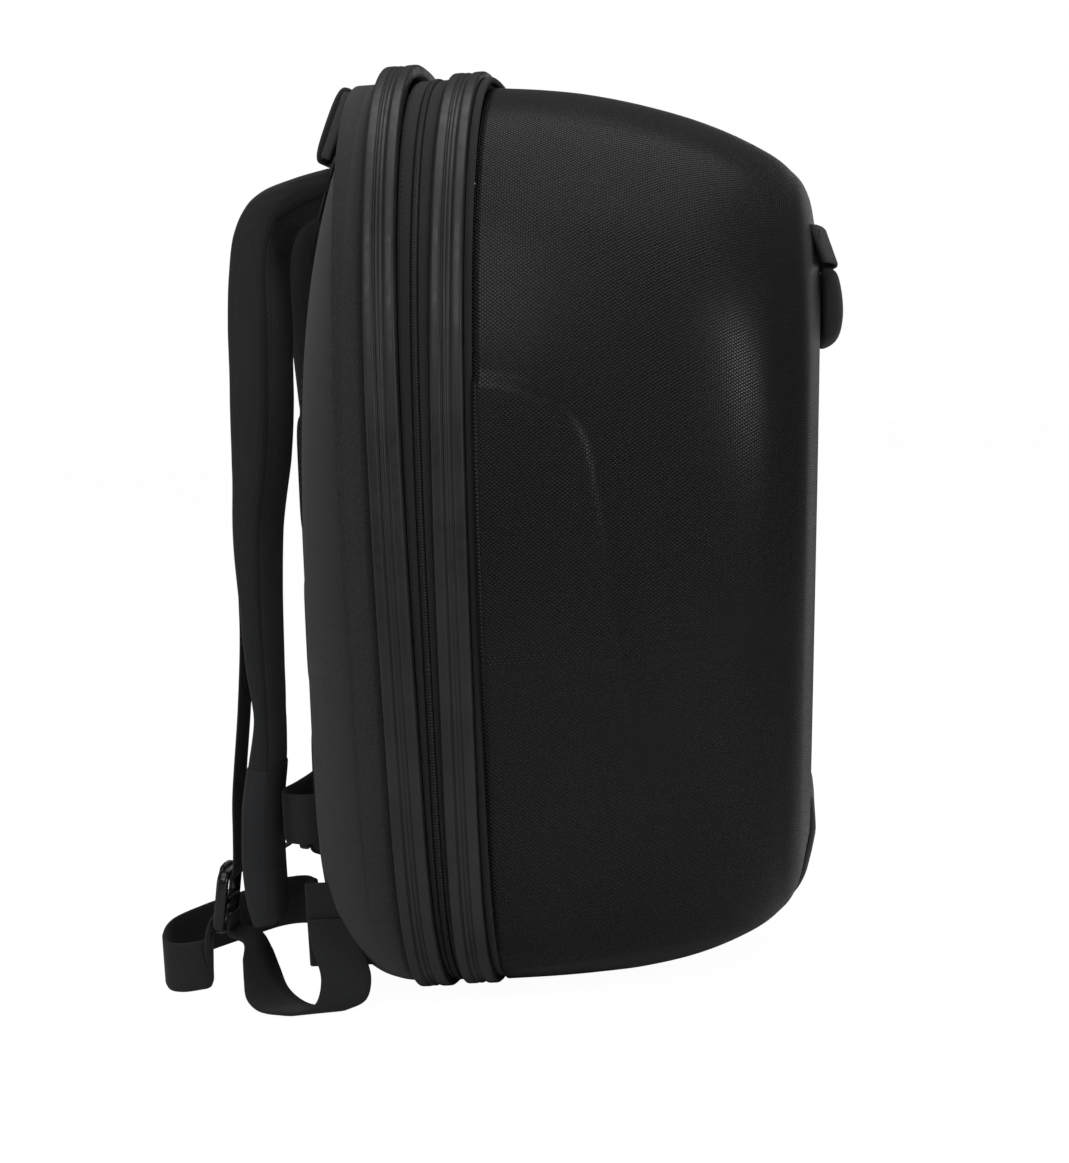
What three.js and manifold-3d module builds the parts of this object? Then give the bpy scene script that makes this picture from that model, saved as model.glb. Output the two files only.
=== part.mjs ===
// A hard shell backpack, standing upright: moulded front shell, ribbed rims with a zip between them,
// a fabric-covered base, an air-mesh harness, carry handles and the adjuster webbing.
// Millimetres, +Z up. The shell faces -Y and the harness +Y; the left side, as worn, is -X.
import * as THREE from 'three';
import { mergeVertices } from 'three/addons/utils/BufferGeometryUtils.js';
import Module from 'manifold-3d';

// Case outline, seen from the back
const caseHeight = 474;
const caseWidth = 348;
const widestHeight = 175;
const topRoundness = 2.6;
const bottomRoundness = 4.6;
const outlineSteps = 40;

// Rims and zip, stacked from the base toward the shell
const rimDepth = 16;
const rimThickness = 6;
const ribRelief = 1.2;
const frontRimDrop = 6;
const frontRimInset = 2.5;
const zipGapBottom = 7;
const zipGapTop = 19;
const zipRecess = 3;
const tapeThickness = 2;
const chainWidth = 3.4;
const chainThickness = 2.6;
const bindingDepth = 4;
const bindingRecess = 5.5;
const bindingThickness = 3;

// Front shell and base
const shellDepth = 171;
const shellLean = 0.13;
const shellWall = 3;
const baseDepth = 39.5;
const baseLean = 0.27;
const baseWall = 4;

// Back panel and its pads
const panelWidth = 214;
const panelHeight = 262;
const panelCorner = 42;
const panelMiddle = 205;
const panelThickness = 2;
const padWidth = 90;
const padHeight = 66;
const padCorner = 16;
const padThickness = 5.5;
const padGap = 12;
const padRows = 3;
const lowestPadHeight = 108;
const padPitch = 78;

// Shoulder straps
const strapWidth = 68;
const strapThickness = 13;
const strapSpread = 105;
const strapReach = 82;
const strapTopDrop = 62;
const sleeveHeight = 122;

// Webbing and its fittings
const webbingWidth = 25;
const webbingThickness = 1.8;
const lockHeight = 32;
const lockWidth = 33;
const lockThickness = 6;
const lockBar = 4;
const lockStandOff = 17;
const lockMiddleHeight = 53;
const lockTilt = 0.16;
const webbingRows = [
  { height: 206, lift: 0.4 },
  { height: 186, lift: 1.6 },
  { height: 151, lift: 7.5 },
  { height: 105, lift: 5.2 },
  { height: 88, lift: 4.2 },
];
const tabHeight = 42;
const tabThickness = 3;
const tabSide = 130;
const tabReach = 53;
const tabWidth = 30;
const tabMiddle = 43;
const beltHeight = 95;
const beltReach = 62;
const buckleWidth = 62;
const buckleHeight = 32;
const buckleThickness = 8.4;

// Handles and foot
const carryWidth = 36;
const carrySpan = 124;
const carryRise = 15;
const carrySink = 3;
const carryDrop = 34;
const carryTilt = 0.41;
const gripLength = 76;
const gripThickness = 8;
const yokeWidth = 170;
const yokeHeight = 34;
const yokeDrop = 66;
const yokeThickness = 2;
const yokeCorner = 11;
const frontStrapSpan = 130;
const frontStrapDrop = 109;
const frontStrapWidth = 20;
const frontStrapRise = 7;
const frontGripLength = 96;
const frontGripHeight = 42;
const frontGripThickness = 12;
const footLength = 110;
const footBottom = 24;
const footTop = 83;
const footStandOff = 3.8;

// Zip sliders
const sliderHeight = 205;
const sliderLength = 14;
const sliderWidth = 9;
const sliderThickness = 3.6;
const sliderSpacing = 22;

// Air between parts that touch
const gap = 0.3;

const halfWidth = caseWidth / 2;
const strapTopHeight = caseHeight - strapTopDrop;
const carryHeight = caseHeight - carryDrop;
const yokeMiddle = caseHeight - yokeDrop;
const frontStrapHeight = caseHeight - frontStrapDrop;
const upperReach = caseHeight - widestHeight;

const pack = new THREE.Group();

function material(color, roughness, metalness = 0) {
  return new THREE.MeshStandardMaterial({ color, roughness, metalness });
}

const shellPlastic = material(0x1c1d1e, 0.35);
const rimRubber = material(0x26292a, 0.5);
const baseFabric = material(0x2a2a2c, 0.9);
const zipFabric = material(0x1b1b1c, 0.85);
const airMesh = material(0x22272c, 0.95);
const webbing = material(0x1a1b1d, 0.8);
const lockPlastic = material(0x141415, 0.3);
const gripFabric = material(0x202327, 0.85);
const sliderMetal = material(0x2b2b2d, 0.4, 0.8);

function add(name, geometry, look, place) {
  const mesh = new THREE.Mesh(geometry, look);
  mesh.name = name;
  if (place) place(mesh);
  pack.add(mesh);
  return mesh;
}

// Sections of the front shell, from the binding to the flat of the front.
// depth: share of the shell's depth; side: share of the half width; top and bottom: shares of the
// heights above and below the widest line; corner: how square the section is below that line.
// The shell is flat underneath as far as the middle of its depth, so that the pack stands on it.
const shellSections = [
  { depth: 0.00, side: 0.968, top: 0.950, bottom: 0.997, corner: 4.3 },
  { depth: 0.15, side: 0.962, top: 0.940, bottom: 0.997, corner: 4.2 },
  { depth: 0.29, side: 0.952, top: 0.926, bottom: 0.997, corner: 4.0 },
  { depth: 0.46, side: 0.934, top: 0.900, bottom: 0.9965, corner: 3.6 },
  { depth: 0.64, side: 0.904, top: 0.863, bottom: 0.976, corner: 3.3 },
  { depth: 0.80, side: 0.858, top: 0.817, bottom: 0.920, corner: 3.5 },
  { depth: 0.90, side: 0.806, top: 0.775, bottom: 0.855, corner: 4.0 },
  { depth: 0.965, side: 0.735, top: 0.718, bottom: 0.772, corner: 4.6 },
  { depth: 1.00, side: 0.600, top: 0.600, bottom: 0.640, corner: 4.6 },
];

// Sections of the base, from its mouth at the rear rim to the flat of the back. Where a section gives no
// corner, it has the rims' own.
const baseSections = [
  { depth: 0.00, side: 0.980, top: 0.985, bottom: 0.985 },
  { depth: 0.16, side: 0.974, top: 0.970, bottom: 0.980 },
  { depth: 0.38, side: 0.945, top: 0.925, bottom: 0.962 },
  { depth: 0.60, side: 0.890, top: 0.860, bottom: 0.925 },
  { depth: 0.80, side: 0.820, top: 0.775, bottom: 0.865 },
  { depth: 0.93, side: 0.750, top: 0.690, bottom: 0.790 },
  { depth: 1.00, side: 0.660, top: 0.590, bottom: 0.680 },
];

function lowerRoundness(section) {
  return section.corner ?? bottomRoundness;
}

// A point of a section: one superellipse above the widest line and a squarer one below it.
function sectionPoint(angle, section, inset = 0) {
  const upper = Math.sin(angle) >= 0;
  const power = 2 / (upper ? topRoundness : lowerRoundness(section));
  const across = halfWidth * section.side - inset;
  const reach = (upper ? upperReach * section.top : widestHeight * section.bottom) - inset;
  const x = across * Math.sign(Math.cos(angle)) * Math.abs(Math.cos(angle)) ** power;
  const rise = reach * Math.abs(Math.sin(angle)) ** power;
  return { x, z: widestHeight + (upper ? rise : -rise) };
}

// How wide the zip's opening is at a height: it gapes toward the top.
function zipGap(z) {
  return zipGapBottom + (zipGapTop - zipGapBottom) * z / caseHeight;
}

function shellStart(z) {
  return -(2 * rimDepth + zipGap(z) + bindingDepth);
}

function shellReach(z) {
  return shellDepth * (1 - shellLean * (1 - z / caseHeight));
}

function baseReach(z) {
  return baseDepth * (1 + baseLean * (1 - z / caseHeight));
}

// The section at any depth share, and the depth share where the skin passes over a point.
function sectionAt(sections, depth) {
  let k = 0;
  while (k < sections.length - 2 && sections[k + 1].depth < depth) k += 1;
  const [a, b] = [sections[k], sections[k + 1]];
  const t = (depth - a.depth) / (b.depth - a.depth);
  const mix = (key) => a[key] + (b[key] - a[key]) * t;
  const corner = a.corner ? mix('corner') : undefined;
  return { depth, side: mix('side'), top: mix('top'), bottom: mix('bottom'), corner };
}

function isInside(section, x, z) {
  const upper = z >= widestHeight;
  const power = upper ? topRoundness : lowerRoundness(section);
  const reach = upper ? upperReach * section.top : widestHeight * section.bottom;
  const across = Math.abs(x) / (halfWidth * section.side);
  return across ** power + (Math.abs(z - widestHeight) / reach) ** power <= 1;
}

function depthOver(sections, x, z) {
  let [low, high] = [0, 1];
  if (isInside(sections[sections.length - 1], x, z)) return 1;
  for (let step = 0; step < 24; step += 1) {
    const middle = (low + high) / 2;
    if (isInside(sectionAt(sections, middle), x, z)) low = middle;
    else high = middle;
  }
  return low;
}

function baseBack(x, z) {
  return gap + depthOver(baseSections, x, z) * baseReach(z);
}

function shellFront(x, z) {
  return shellStart(z) - depthOver(shellSections, x, z) * shellReach(z);
}

// A geometry as a solid for cutting and joining, and back.
const wasm = await Module();
wasm.setup();

function solid(geometry) {
  const bare = geometry.clone();
  bare.deleteAttribute('normal');
  bare.deleteAttribute('uv');
  const merged = mergeVertices(bare, 1e-4);
  const corners = merged.getIndex().array;
  const triangles = [];
  for (let i = 0; i < corners.length; i += 3) {
    const [a, b, c] = [corners[i], corners[i + 1], corners[i + 2]];
    if (a !== b && b !== c && c !== a) triangles.push(a, b, c);
  }
  return new wasm.Manifold(new wasm.Mesh({
    numProp: 3,
    vertProperties: new Float32Array(merged.getAttribute('position').array),
    triVerts: new Uint32Array(triangles),
  }));
}

function geometryOf(body) {
  const mesh = body.getMesh();
  const geometry = new THREE.BufferGeometry();
  geometry.setAttribute('position', new THREE.BufferAttribute(mesh.vertProperties, 3));
  geometry.setIndex(new THREE.BufferAttribute(mesh.triVerts, 1));
  geometry.computeVertexNormals();
  return geometry;
}

// A lathe's rings moved onto the sections of the case: rows gives each ring's section, inset and place
// in depth. A closed row list (the last row repeats the first) makes a ring; otherwise each end is a pole.
function ringSolid(rows, steps = outlineSteps) {
  const profile = rows.map((row, k) => new THREE.Vector2(row.pole ? 0 : 1, k));
  const geometry = new THREE.LatheGeometry(profile, steps);
  const position = geometry.getAttribute('position');
  for (let i = 0; i <= steps; i += 1) {
    const angle = (i % steps + 0.5) * 2 * Math.PI / steps;
    rows.forEach((row, k) => {
      const flat = row.pole
        ? { x: 0, z: widestHeight }
        : sectionPoint(angle, row.section, row.inset ?? 0);
      position.setXYZ(i * rows.length + k, flat.x, row.depthAt(flat.z), flat.z);
    });
  }
  geometry.computeVertexNormals();
  return geometry;
}

function flipped(rows) {
  return [...rows].reverse();
}

// Hollow half of the case: outer skin, mouth, inner skin.
function halfShell(sections, wall, startAt, reachAt, toward) {
  const outer = sections.map((section) => ({
    section,
    depthAt: (z) => startAt(z) + toward * section.depth * reachAt(z),
  }));
  const inner = sections.filter((section, k) => k % 2 === 0).map((section) => ({
    section,
    inset: wall,
    depthAt: (z) => startAt(z) + toward * section.depth * (reachAt(z) - wall),
  }));
  const outerPole = { pole: true, depthAt: (z) => startAt(z) + toward * reachAt(z) };
  const innerPole = { pole: true, depthAt: (z) => startAt(z) + toward * (reachAt(z) - wall) };
  const rows = [innerPole, ...flipped(inner), ...outer, outerPole];
  return ringSolid(toward > 0 ? flipped(rows) : rows);
}

add('base_shell', halfShell(baseSections, baseWall, () => gap, baseReach, 1), baseFabric);
add('front_shell', halfShell(shellSections, shellWall, shellStart, shellReach, -1), shellPlastic);

// Rims: a wide rib, a narrow one and a wide one, with a groove before the last.
const rimSection = { side: 1, top: 1, bottom: 1 };
const frontRimSection = {
  side: 1 - frontRimInset / halfWidth,
  top: 1 - frontRimDrop / upperReach,
  bottom: 1 - gap / widestHeight,
};
const ribProfile = [
  { along: 0.00, relief: 1 },
  { along: 0.06, relief: 0 },
  { along: 0.28, relief: 0 },
  { along: 0.36, relief: 1 },
  { along: 0.45, relief: 0.2 },
  { along: 0.53, relief: 1 },
  { along: 0.64, relief: 1 },
  { along: 0.70, relief: 0 },
  { along: 0.94, relief: 0 },
  { along: 1.00, relief: 1 },
];

function rim(section, frontFace) {
  const rows = ribProfile.map(({ along, relief }) => ({
    section,
    inset: relief * ribRelief,
    depthAt: (z) => frontFace(z) + rimDepth * (1 - along),
  }));
  rows.push({ section, inset: rimThickness, depthAt: (z) => frontFace(z) });
  rows.push({ section, inset: rimThickness, depthAt: (z) => frontFace(z) + rimDepth });
  rows.push(rows[0]);
  return ringSolid(rows);
}

// A plain flat ring between two places in depth.
function band(section, inset, thickness, rear, front) {
  const rows = [
    { section, inset, depthAt: rear },
    { section, inset, depthAt: front },
    { section, inset: inset + thickness, depthAt: front },
    { section, inset: inset + thickness, depthAt: rear },
  ];
  rows.push(rows[0]);
  return ringSolid(rows);
}

const zipStart = -rimDepth;
const chainMiddle = (z) => zipStart - zipGap(z) / 2;
const frontRimRear = (z) => zipStart - zipGap(z);
const frontRimFront = (z) => frontRimRear(z) - rimDepth;
const zipSection = {
  side: 1 - frontRimInset / halfWidth,
  top: 1 - frontRimDrop / upperReach,
  bottom: 1 - gap / widestHeight,
};

add('rim_rear', rim(rimSection, () => -rimDepth + gap), rimRubber);
add('rim_front', rim(frontRimSection, (z) => frontRimFront(z) + gap), rimRubber);
add('zip_tape_rear', band(zipSection, zipRecess, tapeThickness,
  () => zipStart, (z) => chainMiddle(z) + chainWidth / 2 + gap), zipFabric);
add('zip_tape_front', band(zipSection, zipRecess, tapeThickness,
  (z) => chainMiddle(z) - chainWidth / 2 - gap, (z) => frontRimRear(z) + 2 * gap), zipFabric);
add('zip_chain', band(zipSection, zipRecess - 1, chainThickness,
  (z) => chainMiddle(z) + chainWidth / 2, (z) => chainMiddle(z) - chainWidth / 2), zipFabric);
add('shell_binding', band(frontRimSection, bindingRecess - frontRimInset, bindingThickness,
  (z) => frontRimFront(z), (z) => shellStart(z) + gap), zipFabric);

// Solids that pieces are cut against: the base or the shell, grown by a clearance.
function grownHalf(sections, startAt, reachAt, toward, grow) {
  const rows = sections.map((section) => ({
    section,
    inset: -grow,
    depthAt: (z) => startAt(z) + toward * section.depth * (reachAt(z) + grow),
  }));
  const mouth = { pole: true, depthAt: (z) => startAt(z) };
  const end = { pole: true, depthAt: (z) => startAt(z) + toward * (reachAt(z) + grow) };
  const all = [mouth, ...rows, end];
  return solid(ringSolid(toward > 0 ? flipped(all) : all));
}

const grownBase = (grow) => grownHalf(baseSections, () => gap, baseReach, 1, grow);
const grownShell = (grow) => grownHalf(shellSections, shellStart, shellReach, -1, grow);

// A box bent along a path. place(t) gives its middle and the directions along and across there, and its
// width and thickness.
function bentBox(place, steps) {
  const geometry = new THREE.BoxGeometry(1, 1, 1, 1, 1, steps);
  const position = geometry.getAttribute('position');
  const frames = [];
  for (let k = 0; k <= steps; k += 1) {
    const row = place(k / steps);
    const { along } = row;
    const across = row.across.clone().normalize();
    frames.push({ ...row, across, out: along.clone().cross(across).normalize() });
  }
  const point = new THREE.Vector3();
  for (let i = 0; i < position.count; i += 1) {
    const frame = frames[Math.round((position.getZ(i) + 0.5) * steps)];
    point.copy(frame.middle)
      .addScaledVector(frame.across, position.getX(i) * frame.width)
      .addScaledVector(frame.out, position.getY(i) * frame.thickness);
    position.setXYZ(i, point.x, point.y, point.z);
  }
  return geometry;
}

// A value read off a table's column at a share of the way through it.
function column(rows, key, t) {
  const place = t * (rows.length - 1);
  const k = Math.min(Math.floor(place), rows.length - 2);
  return rows[k][key] + (rows[k + 1][key] - rows[k][key]) * (place - k);
}

const acrossX = new THREE.Vector3(1, 0, 0);

// Webbing through a few points: x grows away from the middle of the back, and face tells how its width
// lies, from 0 across the back to 1 the way of the second direction.
function webbingStrip(rows, side, width, turned, steps) {
  const curve = new THREE.CatmullRomCurve3(
    rows.map((row) => new THREE.Vector3(side * row.x, row.y, row.z)), false, 'centripetal');
  return bentBox((t) => {
    const face = column(rows, 'face', t);
    const across = new THREE.Vector3(
      (1 - face) + face * turned.x * side, face * turned.y, face * turned.z);
    return {
      middle: curve.getPoint(t), along: curve.getTangent(t), across, width, thickness: webbingThickness,
    };
  }, steps);
}

// Back panel: a padded sheet on the flat of the back
function roundedRectangle(width, height, radius) {
  const [w, h] = [width / 2, height / 2];
  const shape = new THREE.Shape();
  shape.moveTo(-w + radius, -h);
  shape.lineTo(w - radius, -h);
  shape.absarc(w - radius, -h + radius, radius, -Math.PI / 2, 0);
  shape.lineTo(w, h - radius);
  shape.absarc(w - radius, h - radius, radius, 0, Math.PI / 2);
  shape.lineTo(-w + radius, h);
  shape.absarc(-w + radius, h - radius, radius, Math.PI / 2, Math.PI);
  shape.lineTo(-w, -h + radius);
  shape.absarc(-w + radius, -h + radius, radius, Math.PI, 1.5 * Math.PI);
  return shape;
}

// A plate standing in the XZ plane at y = 0 and growing toward +Y.
function plate(shape, thickness, bevel = 0, curveSegments = 4) {
  const geometry = new THREE.ExtrudeGeometry(shape, {
    depth: thickness - 2 * bevel,
    bevelEnabled: bevel > 0,
    bevelThickness: bevel,
    bevelSize: bevel,
    bevelOffset: -bevel,
    bevelSegments: 1,
    curveSegments,
  });
  geometry.rotateX(Math.PI / 2);
  return geometry.translate(0, thickness - bevel, 0);
}

const panelSection = baseSections[baseSections.length - 1];
const panelBody = plate(roundedRectangle(panelWidth, panelHeight, panelCorner), baseDepth * 2)
  .translate(0, baseDepth / 2, panelMiddle);
add('back_panel', geometryOf(solid(panelBody)
  .intersect(grownBase(panelThickness + gap)).subtract(grownBase(gap))), airMesh);

function padOn(side, row) {
  const shape = roundedRectangle(padWidth, padHeight, padCorner);
  const geometry = plate(shape, padThickness, padThickness / 3);
  geometry.translate(side * (padWidth + padGap) / 2, 0, lowestPadHeight + row * padPitch);
  const position = geometry.getAttribute('position');
  for (let i = 0; i < position.count; i += 1) {
    const lift = gap + baseReach(position.getZ(i)) + panelThickness + 2 * gap;
    position.setY(i, position.getY(i) + lift);
  }
  return geometry;
}

for (const [side, hand] of [[-1, 'left'], [1, 'right']]) {
  for (let row = 0; row < padRows; row += 1) {
    add(`back_pad_${hand}_${row + 1}`, padOn(side, row), airMesh);
  }
}

// Shoulder straps, from the yoke down over the back to the sleeve's end.
// height: share of the top's height; out: share of the farthest stand-off; side: share of the spread;
// width and thick: shares of the strap's own.
const strapRows = [
  { height: 1.000, out: 0.280, side: 0.530, width: 0.88, thick: 1.10 },
  { height: 0.986, out: 0.520, side: 0.540, width: 0.90, thick: 1.35 },
  { height: 0.966, out: 0.726, side: 0.560, width: 0.93, thick: 1.60 },
  { height: 0.935, out: 0.805, side: 0.590, width: 0.96, thick: 1.69 },
  { height: 0.890, out: 0.832, side: 0.630, width: 0.99, thick: 1.73 },
  { height: 0.820, out: 0.832, side: 0.700, width: 1.00, thick: 1.81 },
  { height: 0.740, out: 0.829, side: 0.780, width: 1.00, thick: 1.77 },
  { height: 0.660, out: 0.842, side: 0.840, width: 0.98, thick: 1.62 },
  { height: 0.580, out: 0.878, side: 0.890, width: 0.93, thick: 1.25 },
  { height: 0.500, out: 0.880, side: 0.930, width: 0.86, thick: 1.03 },
  { height: 0.420, out: 0.873, side: 0.965, width: 0.78, thick: 0.86 },
  { height: 0.355, out: 0.860, side: 0.985, width: 0.72, thick: 0.63 },
  { height: 0.300, out: 0.888, side: 1.000, width: 0.70, thick: 0.96 },
  { height: 0.245, out: 0.934, side: 1.000, width: 0.70, thick: 1.09 },
  { height: 0.185, out: 0.956, side: 1.000, width: 0.70, thick: 1.08 },
  { height: 0.130, out: 0.951, side: 1.000, width: 0.69, thick: 0.96 },
  { height: 0.100, out: 0.936, side: 1.000, width: 0.64, thick: 0.80 },
];

function strapCurve(side) {
  return new THREE.CatmullRomCurve3(strapRows.map((row) => new THREE.Vector3(
    side * row.side * strapSpread, row.out * strapReach, row.height * strapTopHeight,
  )), false, 'centripetal');
}

function strapShare(height) {
  let [low, high] = [0, 1];
  const curve = strapCurve(-1);
  for (let step = 0; step < 24; step += 1) {
    const middle = (low + high) / 2;
    if (curve.getPoint(middle).z > height) low = middle;
    else high = middle;
  }
  return low;
}

function strapStretch(side, from, to, steps) {
  const curve = strapCurve(side);
  return bentBox((t) => {
    const share = from + (to - from) * t;
    return {
      middle: curve.getPoint(share),
      along: curve.getTangent(share),
      across: acrossX,
      width: column(strapRows, 'width', share) * strapWidth,
      thickness: column(strapRows, 'thick', share) * strapThickness,
    };
  }, steps);
}

// A point on the strap's outer face, lifted off it.
function strapFace(side, height, lift) {
  const share = strapShare(height);
  const point = strapCurve(side).getPoint(share);
  return { x: Math.abs(point.x), y: point.y + column(strapRows, 'thick', share) * strapThickness / 2 + lift };
}

const sleeveShare = strapShare(sleeveHeight);
const sleeveGap = gap / (strapTopHeight * (strapRows[0].height - strapRows.at(-1).height));

for (const [side, hand] of [[-1, 'left'], [1, 'right']]) {
  const pad = solid(strapStretch(side, 0, sleeveShare - sleeveGap, 26)).subtract(grownBase(gap + yokeThickness + gap));
  add(`shoulder_strap_${hand}`, geometryOf(pad), airMesh);
  add(`strap_sleeve_${hand}`, strapStretch(side, sleeveShare + sleeveGap, 1, 10), webbing);
}

// Yoke: a sewn patch on the base that carries the strap ends and the carry handle
function patch(width, height, middle, thickness, corner) {
  const region = plate(roundedRectangle(width, height, corner), caseWidth).translate(0, gap, middle);
  return geometryOf(solid(region).intersect(grownBase(gap + thickness)).subtract(grownBase(gap)));
}

add('harness_yoke', patch(yokeWidth, yokeHeight, yokeMiddle, yokeThickness, yokeCorner), gripFabric);

// Strap webbing: sewn to the strap's outer face, bridging its dent, down to the ladder lock
const lockMiddle = { x: strapSpread, y: strapReach + lockStandOff, z: lockMiddleHeight };

// Where webbing lies on the lock's rear (-1) or outer (+1) face at a height.
function onLock(z, way) {
  const reach = lockThickness / 2 + webbingThickness / 2 + 2 * gap;
  const y = lockMiddle.y + way * reach - Math.tan(lockTilt) * (z - lockMiddle.z);
  return { x: lockMiddle.x, y, z, face: 0 };
}

function strapWebbing(side) {
  const lift = gap + webbingThickness / 2;
  const rows = webbingRows.map((row) => ({ ...strapFace(side, row.height, lift + row.lift), z: row.height, face: 0 }));
  rows.push(onLock(lockMiddle.z + lockHeight / 2 + lockBar, -1));
  rows.push(onLock(lockMiddle.z + lockHeight / 2 - lockBar, -1));
  return webbingStrip(rows, side, webbingWidth, acrossX, 16);
}

// Ladder lock: a frame with two slots, or the room that it takes up
function ladderLock(room = 0) {
  const shape = roundedRectangle(lockWidth + 2 * room, lockHeight + 2 * room, 3);
  const slotHeight = (lockHeight - 3 * lockBar) / 2;
  for (const way of [-1, 1]) {
    const slot = new THREE.Path();
    const half = lockWidth / 2 - lockBar - room;
    const low = (way > 0 ? lockBar / 2 : -lockBar / 2 - slotHeight) + room;
    slot.moveTo(-half, low);
    slot.lineTo(-half, low + slotHeight - 2 * room);
    slot.lineTo(half, low + slotHeight - 2 * room);
    slot.lineTo(half, low);
    shape.holes.push(slot);
  }
  const thickness = lockThickness + 2 * room;
  return plate(shape, thickness, 0, 3).translate(0, -thickness / 2, 0);
}

const turnedUp = new THREE.Vector3(0, 0, 1);
const turnedBack = new THREE.Vector3(0, -1, 0);

// Adjuster webbing: up from the anchor tab's foot, over the floor and into the ladder lock.
const onTab = tabSide + tabThickness / 2 + gap + webbingThickness / 2 + gap;
const adjusterRows = [
  { x: onTab, y: 40, z: 46, face: 1 },
  { x: onTab + 0.6, y: 38, z: 32, face: 1 },
  { x: 137, y: 34, z: 17, face: 0.95 },
  { x: 140, y: 37, z: 6, face: 0.85 },
  { x: 142, y: 47, z: 2.2, face: 0.8 },
  { x: 139, y: 58, z: 2.2, face: 0.7 },
  { x: 131, y: 69, z: 2.6, face: 0.6 },
  { x: 121, y: 78, z: 7, face: 0.5 },
  { x: 113, y: 82, z: 15, face: 0.4 },
  { x: 109, y: 84.5, z: 24, face: 0.3 },
  { x: 106.5, y: 87, z: 32, face: 0.12 },
  onLock(lockMiddle.z - 0.5 * lockHeight, -1),
  onLock(lockMiddle.z - lockHeight / 4, -1),
];

// Free tail of each adjuster. The left one comes out of the lock, round a loop and back to the base;
// the right one hangs out of its lock and lies on the floor.
const tailRows = {
  left: [
    onLock(lockMiddle.z - lockHeight / 4, 1),
    { x: 107.5, y: 107.5, z: 39, face: 0.12 },
    { x: 109, y: 108.5, z: 33, face: 0.42 },
    { x: 112, y: 107.5, z: 25.5, face: 0.85 },
    { x: 115.5, y: 108.5, z: 22, face: 1 },
    { x: 117, y: 114, z: 21, face: 1 },
    { x: 116, y: 123, z: 20, face: 1 },
    { x: 112.5, y: 130, z: 20.5, face: 1 },
    { x: 104, y: 134, z: 23, face: 1 },
    { x: 91, y: 132.5, z: 27, face: 1 },
    { x: 79, y: 120, z: 31, face: 1 },
    { x: 71, y: 100, z: 36, face: 1 },
    { x: 72, y: 80, z: 42, face: 1 },
    { x: 84, y: 63, z: 46, face: 1 },
    { x: 98, y: 54, z: 47, face: 1 },
  ],
  right: [
    onLock(lockMiddle.z, 1),
    onLock(lockMiddle.z - lockHeight / 4, 1),
    { x: 106, y: 110, z: 41, face: 0 },
    { x: 107, y: 119, z: 35, face: 0 },
    { x: 108, y: 122, z: 22, face: 0 },
    { x: 109, y: 125, z: 10, face: 0 },
    { x: 110, y: 130, z: 2.6, face: 0 },
    { x: 110, y: 134, z: 1.6, face: 0 },
  ],
};

// Waist belt, fastened: out from the side of the base, inside the straps and across the back.
const beltRows = [
  { x: 121, y: 38, z: beltHeight, face: 1 },
  { x: 125, y: 52, z: beltHeight, face: 1 },
  { x: 119, y: 61.5, z: beltHeight, face: 1 },
  { x: 106, y: beltReach + 4, z: beltHeight, face: 1 },
  { x: 86, y: beltReach + 2, z: beltHeight, face: 1 },
  { x: 60, y: beltReach, z: beltHeight, face: 1 },
  { x: buckleWidth / 2 + gap, y: beltReach, z: beltHeight, face: 1 },
];

for (const [side, hand] of [[-1, 'left'], [1, 'right']]) {
  add(`strap_webbing_${hand}`, strapWebbing(side), webbing);
  add(`ladder_lock_${hand}`, ladderLock(), lockPlastic, (mesh) => {
    mesh.position.set(side * lockMiddle.x, lockMiddle.y, lockMiddle.z);
    mesh.rotation.x = lockTilt;
  });
  const tab = new THREE.BoxGeometry(tabThickness, tabWidth, tabHeight)
    .translate(side * tabSide, tabReach - tabWidth / 2, tabMiddle);
  add(`anchor_tab_${hand}`, geometryOf(solid(tab).subtract(grownBase(gap))), gripFabric);
  const adjuster = solid(webbingStrip(adjusterRows, side, webbingWidth, turnedBack, 28));
  add(`adjuster_webbing_${hand}`, geometryOf(adjuster.subtract(grownBase(gap))), webbing);
  const tail = solid(webbingStrip(tailRows[hand], side, webbingWidth, turnedUp, 26));
  add(`adjuster_tail_${hand}`, geometryOf(tail.subtract(grownBase(gap))), webbing);
  const belt = solid(webbingStrip(beltRows, side, webbingWidth, turnedUp, 16));
  add(`waist_belt_${hand}`, geometryOf(belt.subtract(grownBase(gap))), webbing);
}

add('belt_buckle', plate(roundedRectangle(buckleWidth, buckleHeight, 5), buckleThickness, 1.5)
  .translate(0, -buckleThickness / 2, 0), lockPlastic, (mesh) => {
  mesh.position.set(0, beltReach, beltHeight);
});

// A strap arched off a seat, between two places across the pack. rise(x) is how far out it stands.
function arch(from, to, seat, out, across, rise, width, thickness, steps) {
  const points = [];
  for (let k = 0; k <= steps; k += 1) {
    const x = from + (to - from) * k / steps;
    points.push(seat.clone().addScaledVector(out, rise(x)).setX(x));
  }
  const curve = new THREE.CatmullRomCurve3(points);
  return bentBox((t) => ({
    middle: curve.getPoint(t), along: curve.getTangent(t), across, width, thickness,
  }), steps);
}

// Carry handle: a strap arched off the yoke, with a padded grip round its middle
function carryArch(from, to, thickness, width, steps) {
  const slope = new THREE.Vector3(0, -Math.sin(carryTilt), Math.cos(carryTilt));
  const out = new THREE.Vector3(0, Math.cos(carryTilt), Math.sin(carryTilt));
  const seat = new THREE.Vector3(0, baseBack(0, carryHeight), carryHeight);
  const rise = (x) => (carryRise + carrySink) * Math.cos(Math.PI * x / carrySpan) ** 0.6 - carrySink;
  return arch(from, to, seat, out, slope, rise, width, thickness, steps);
}

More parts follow.
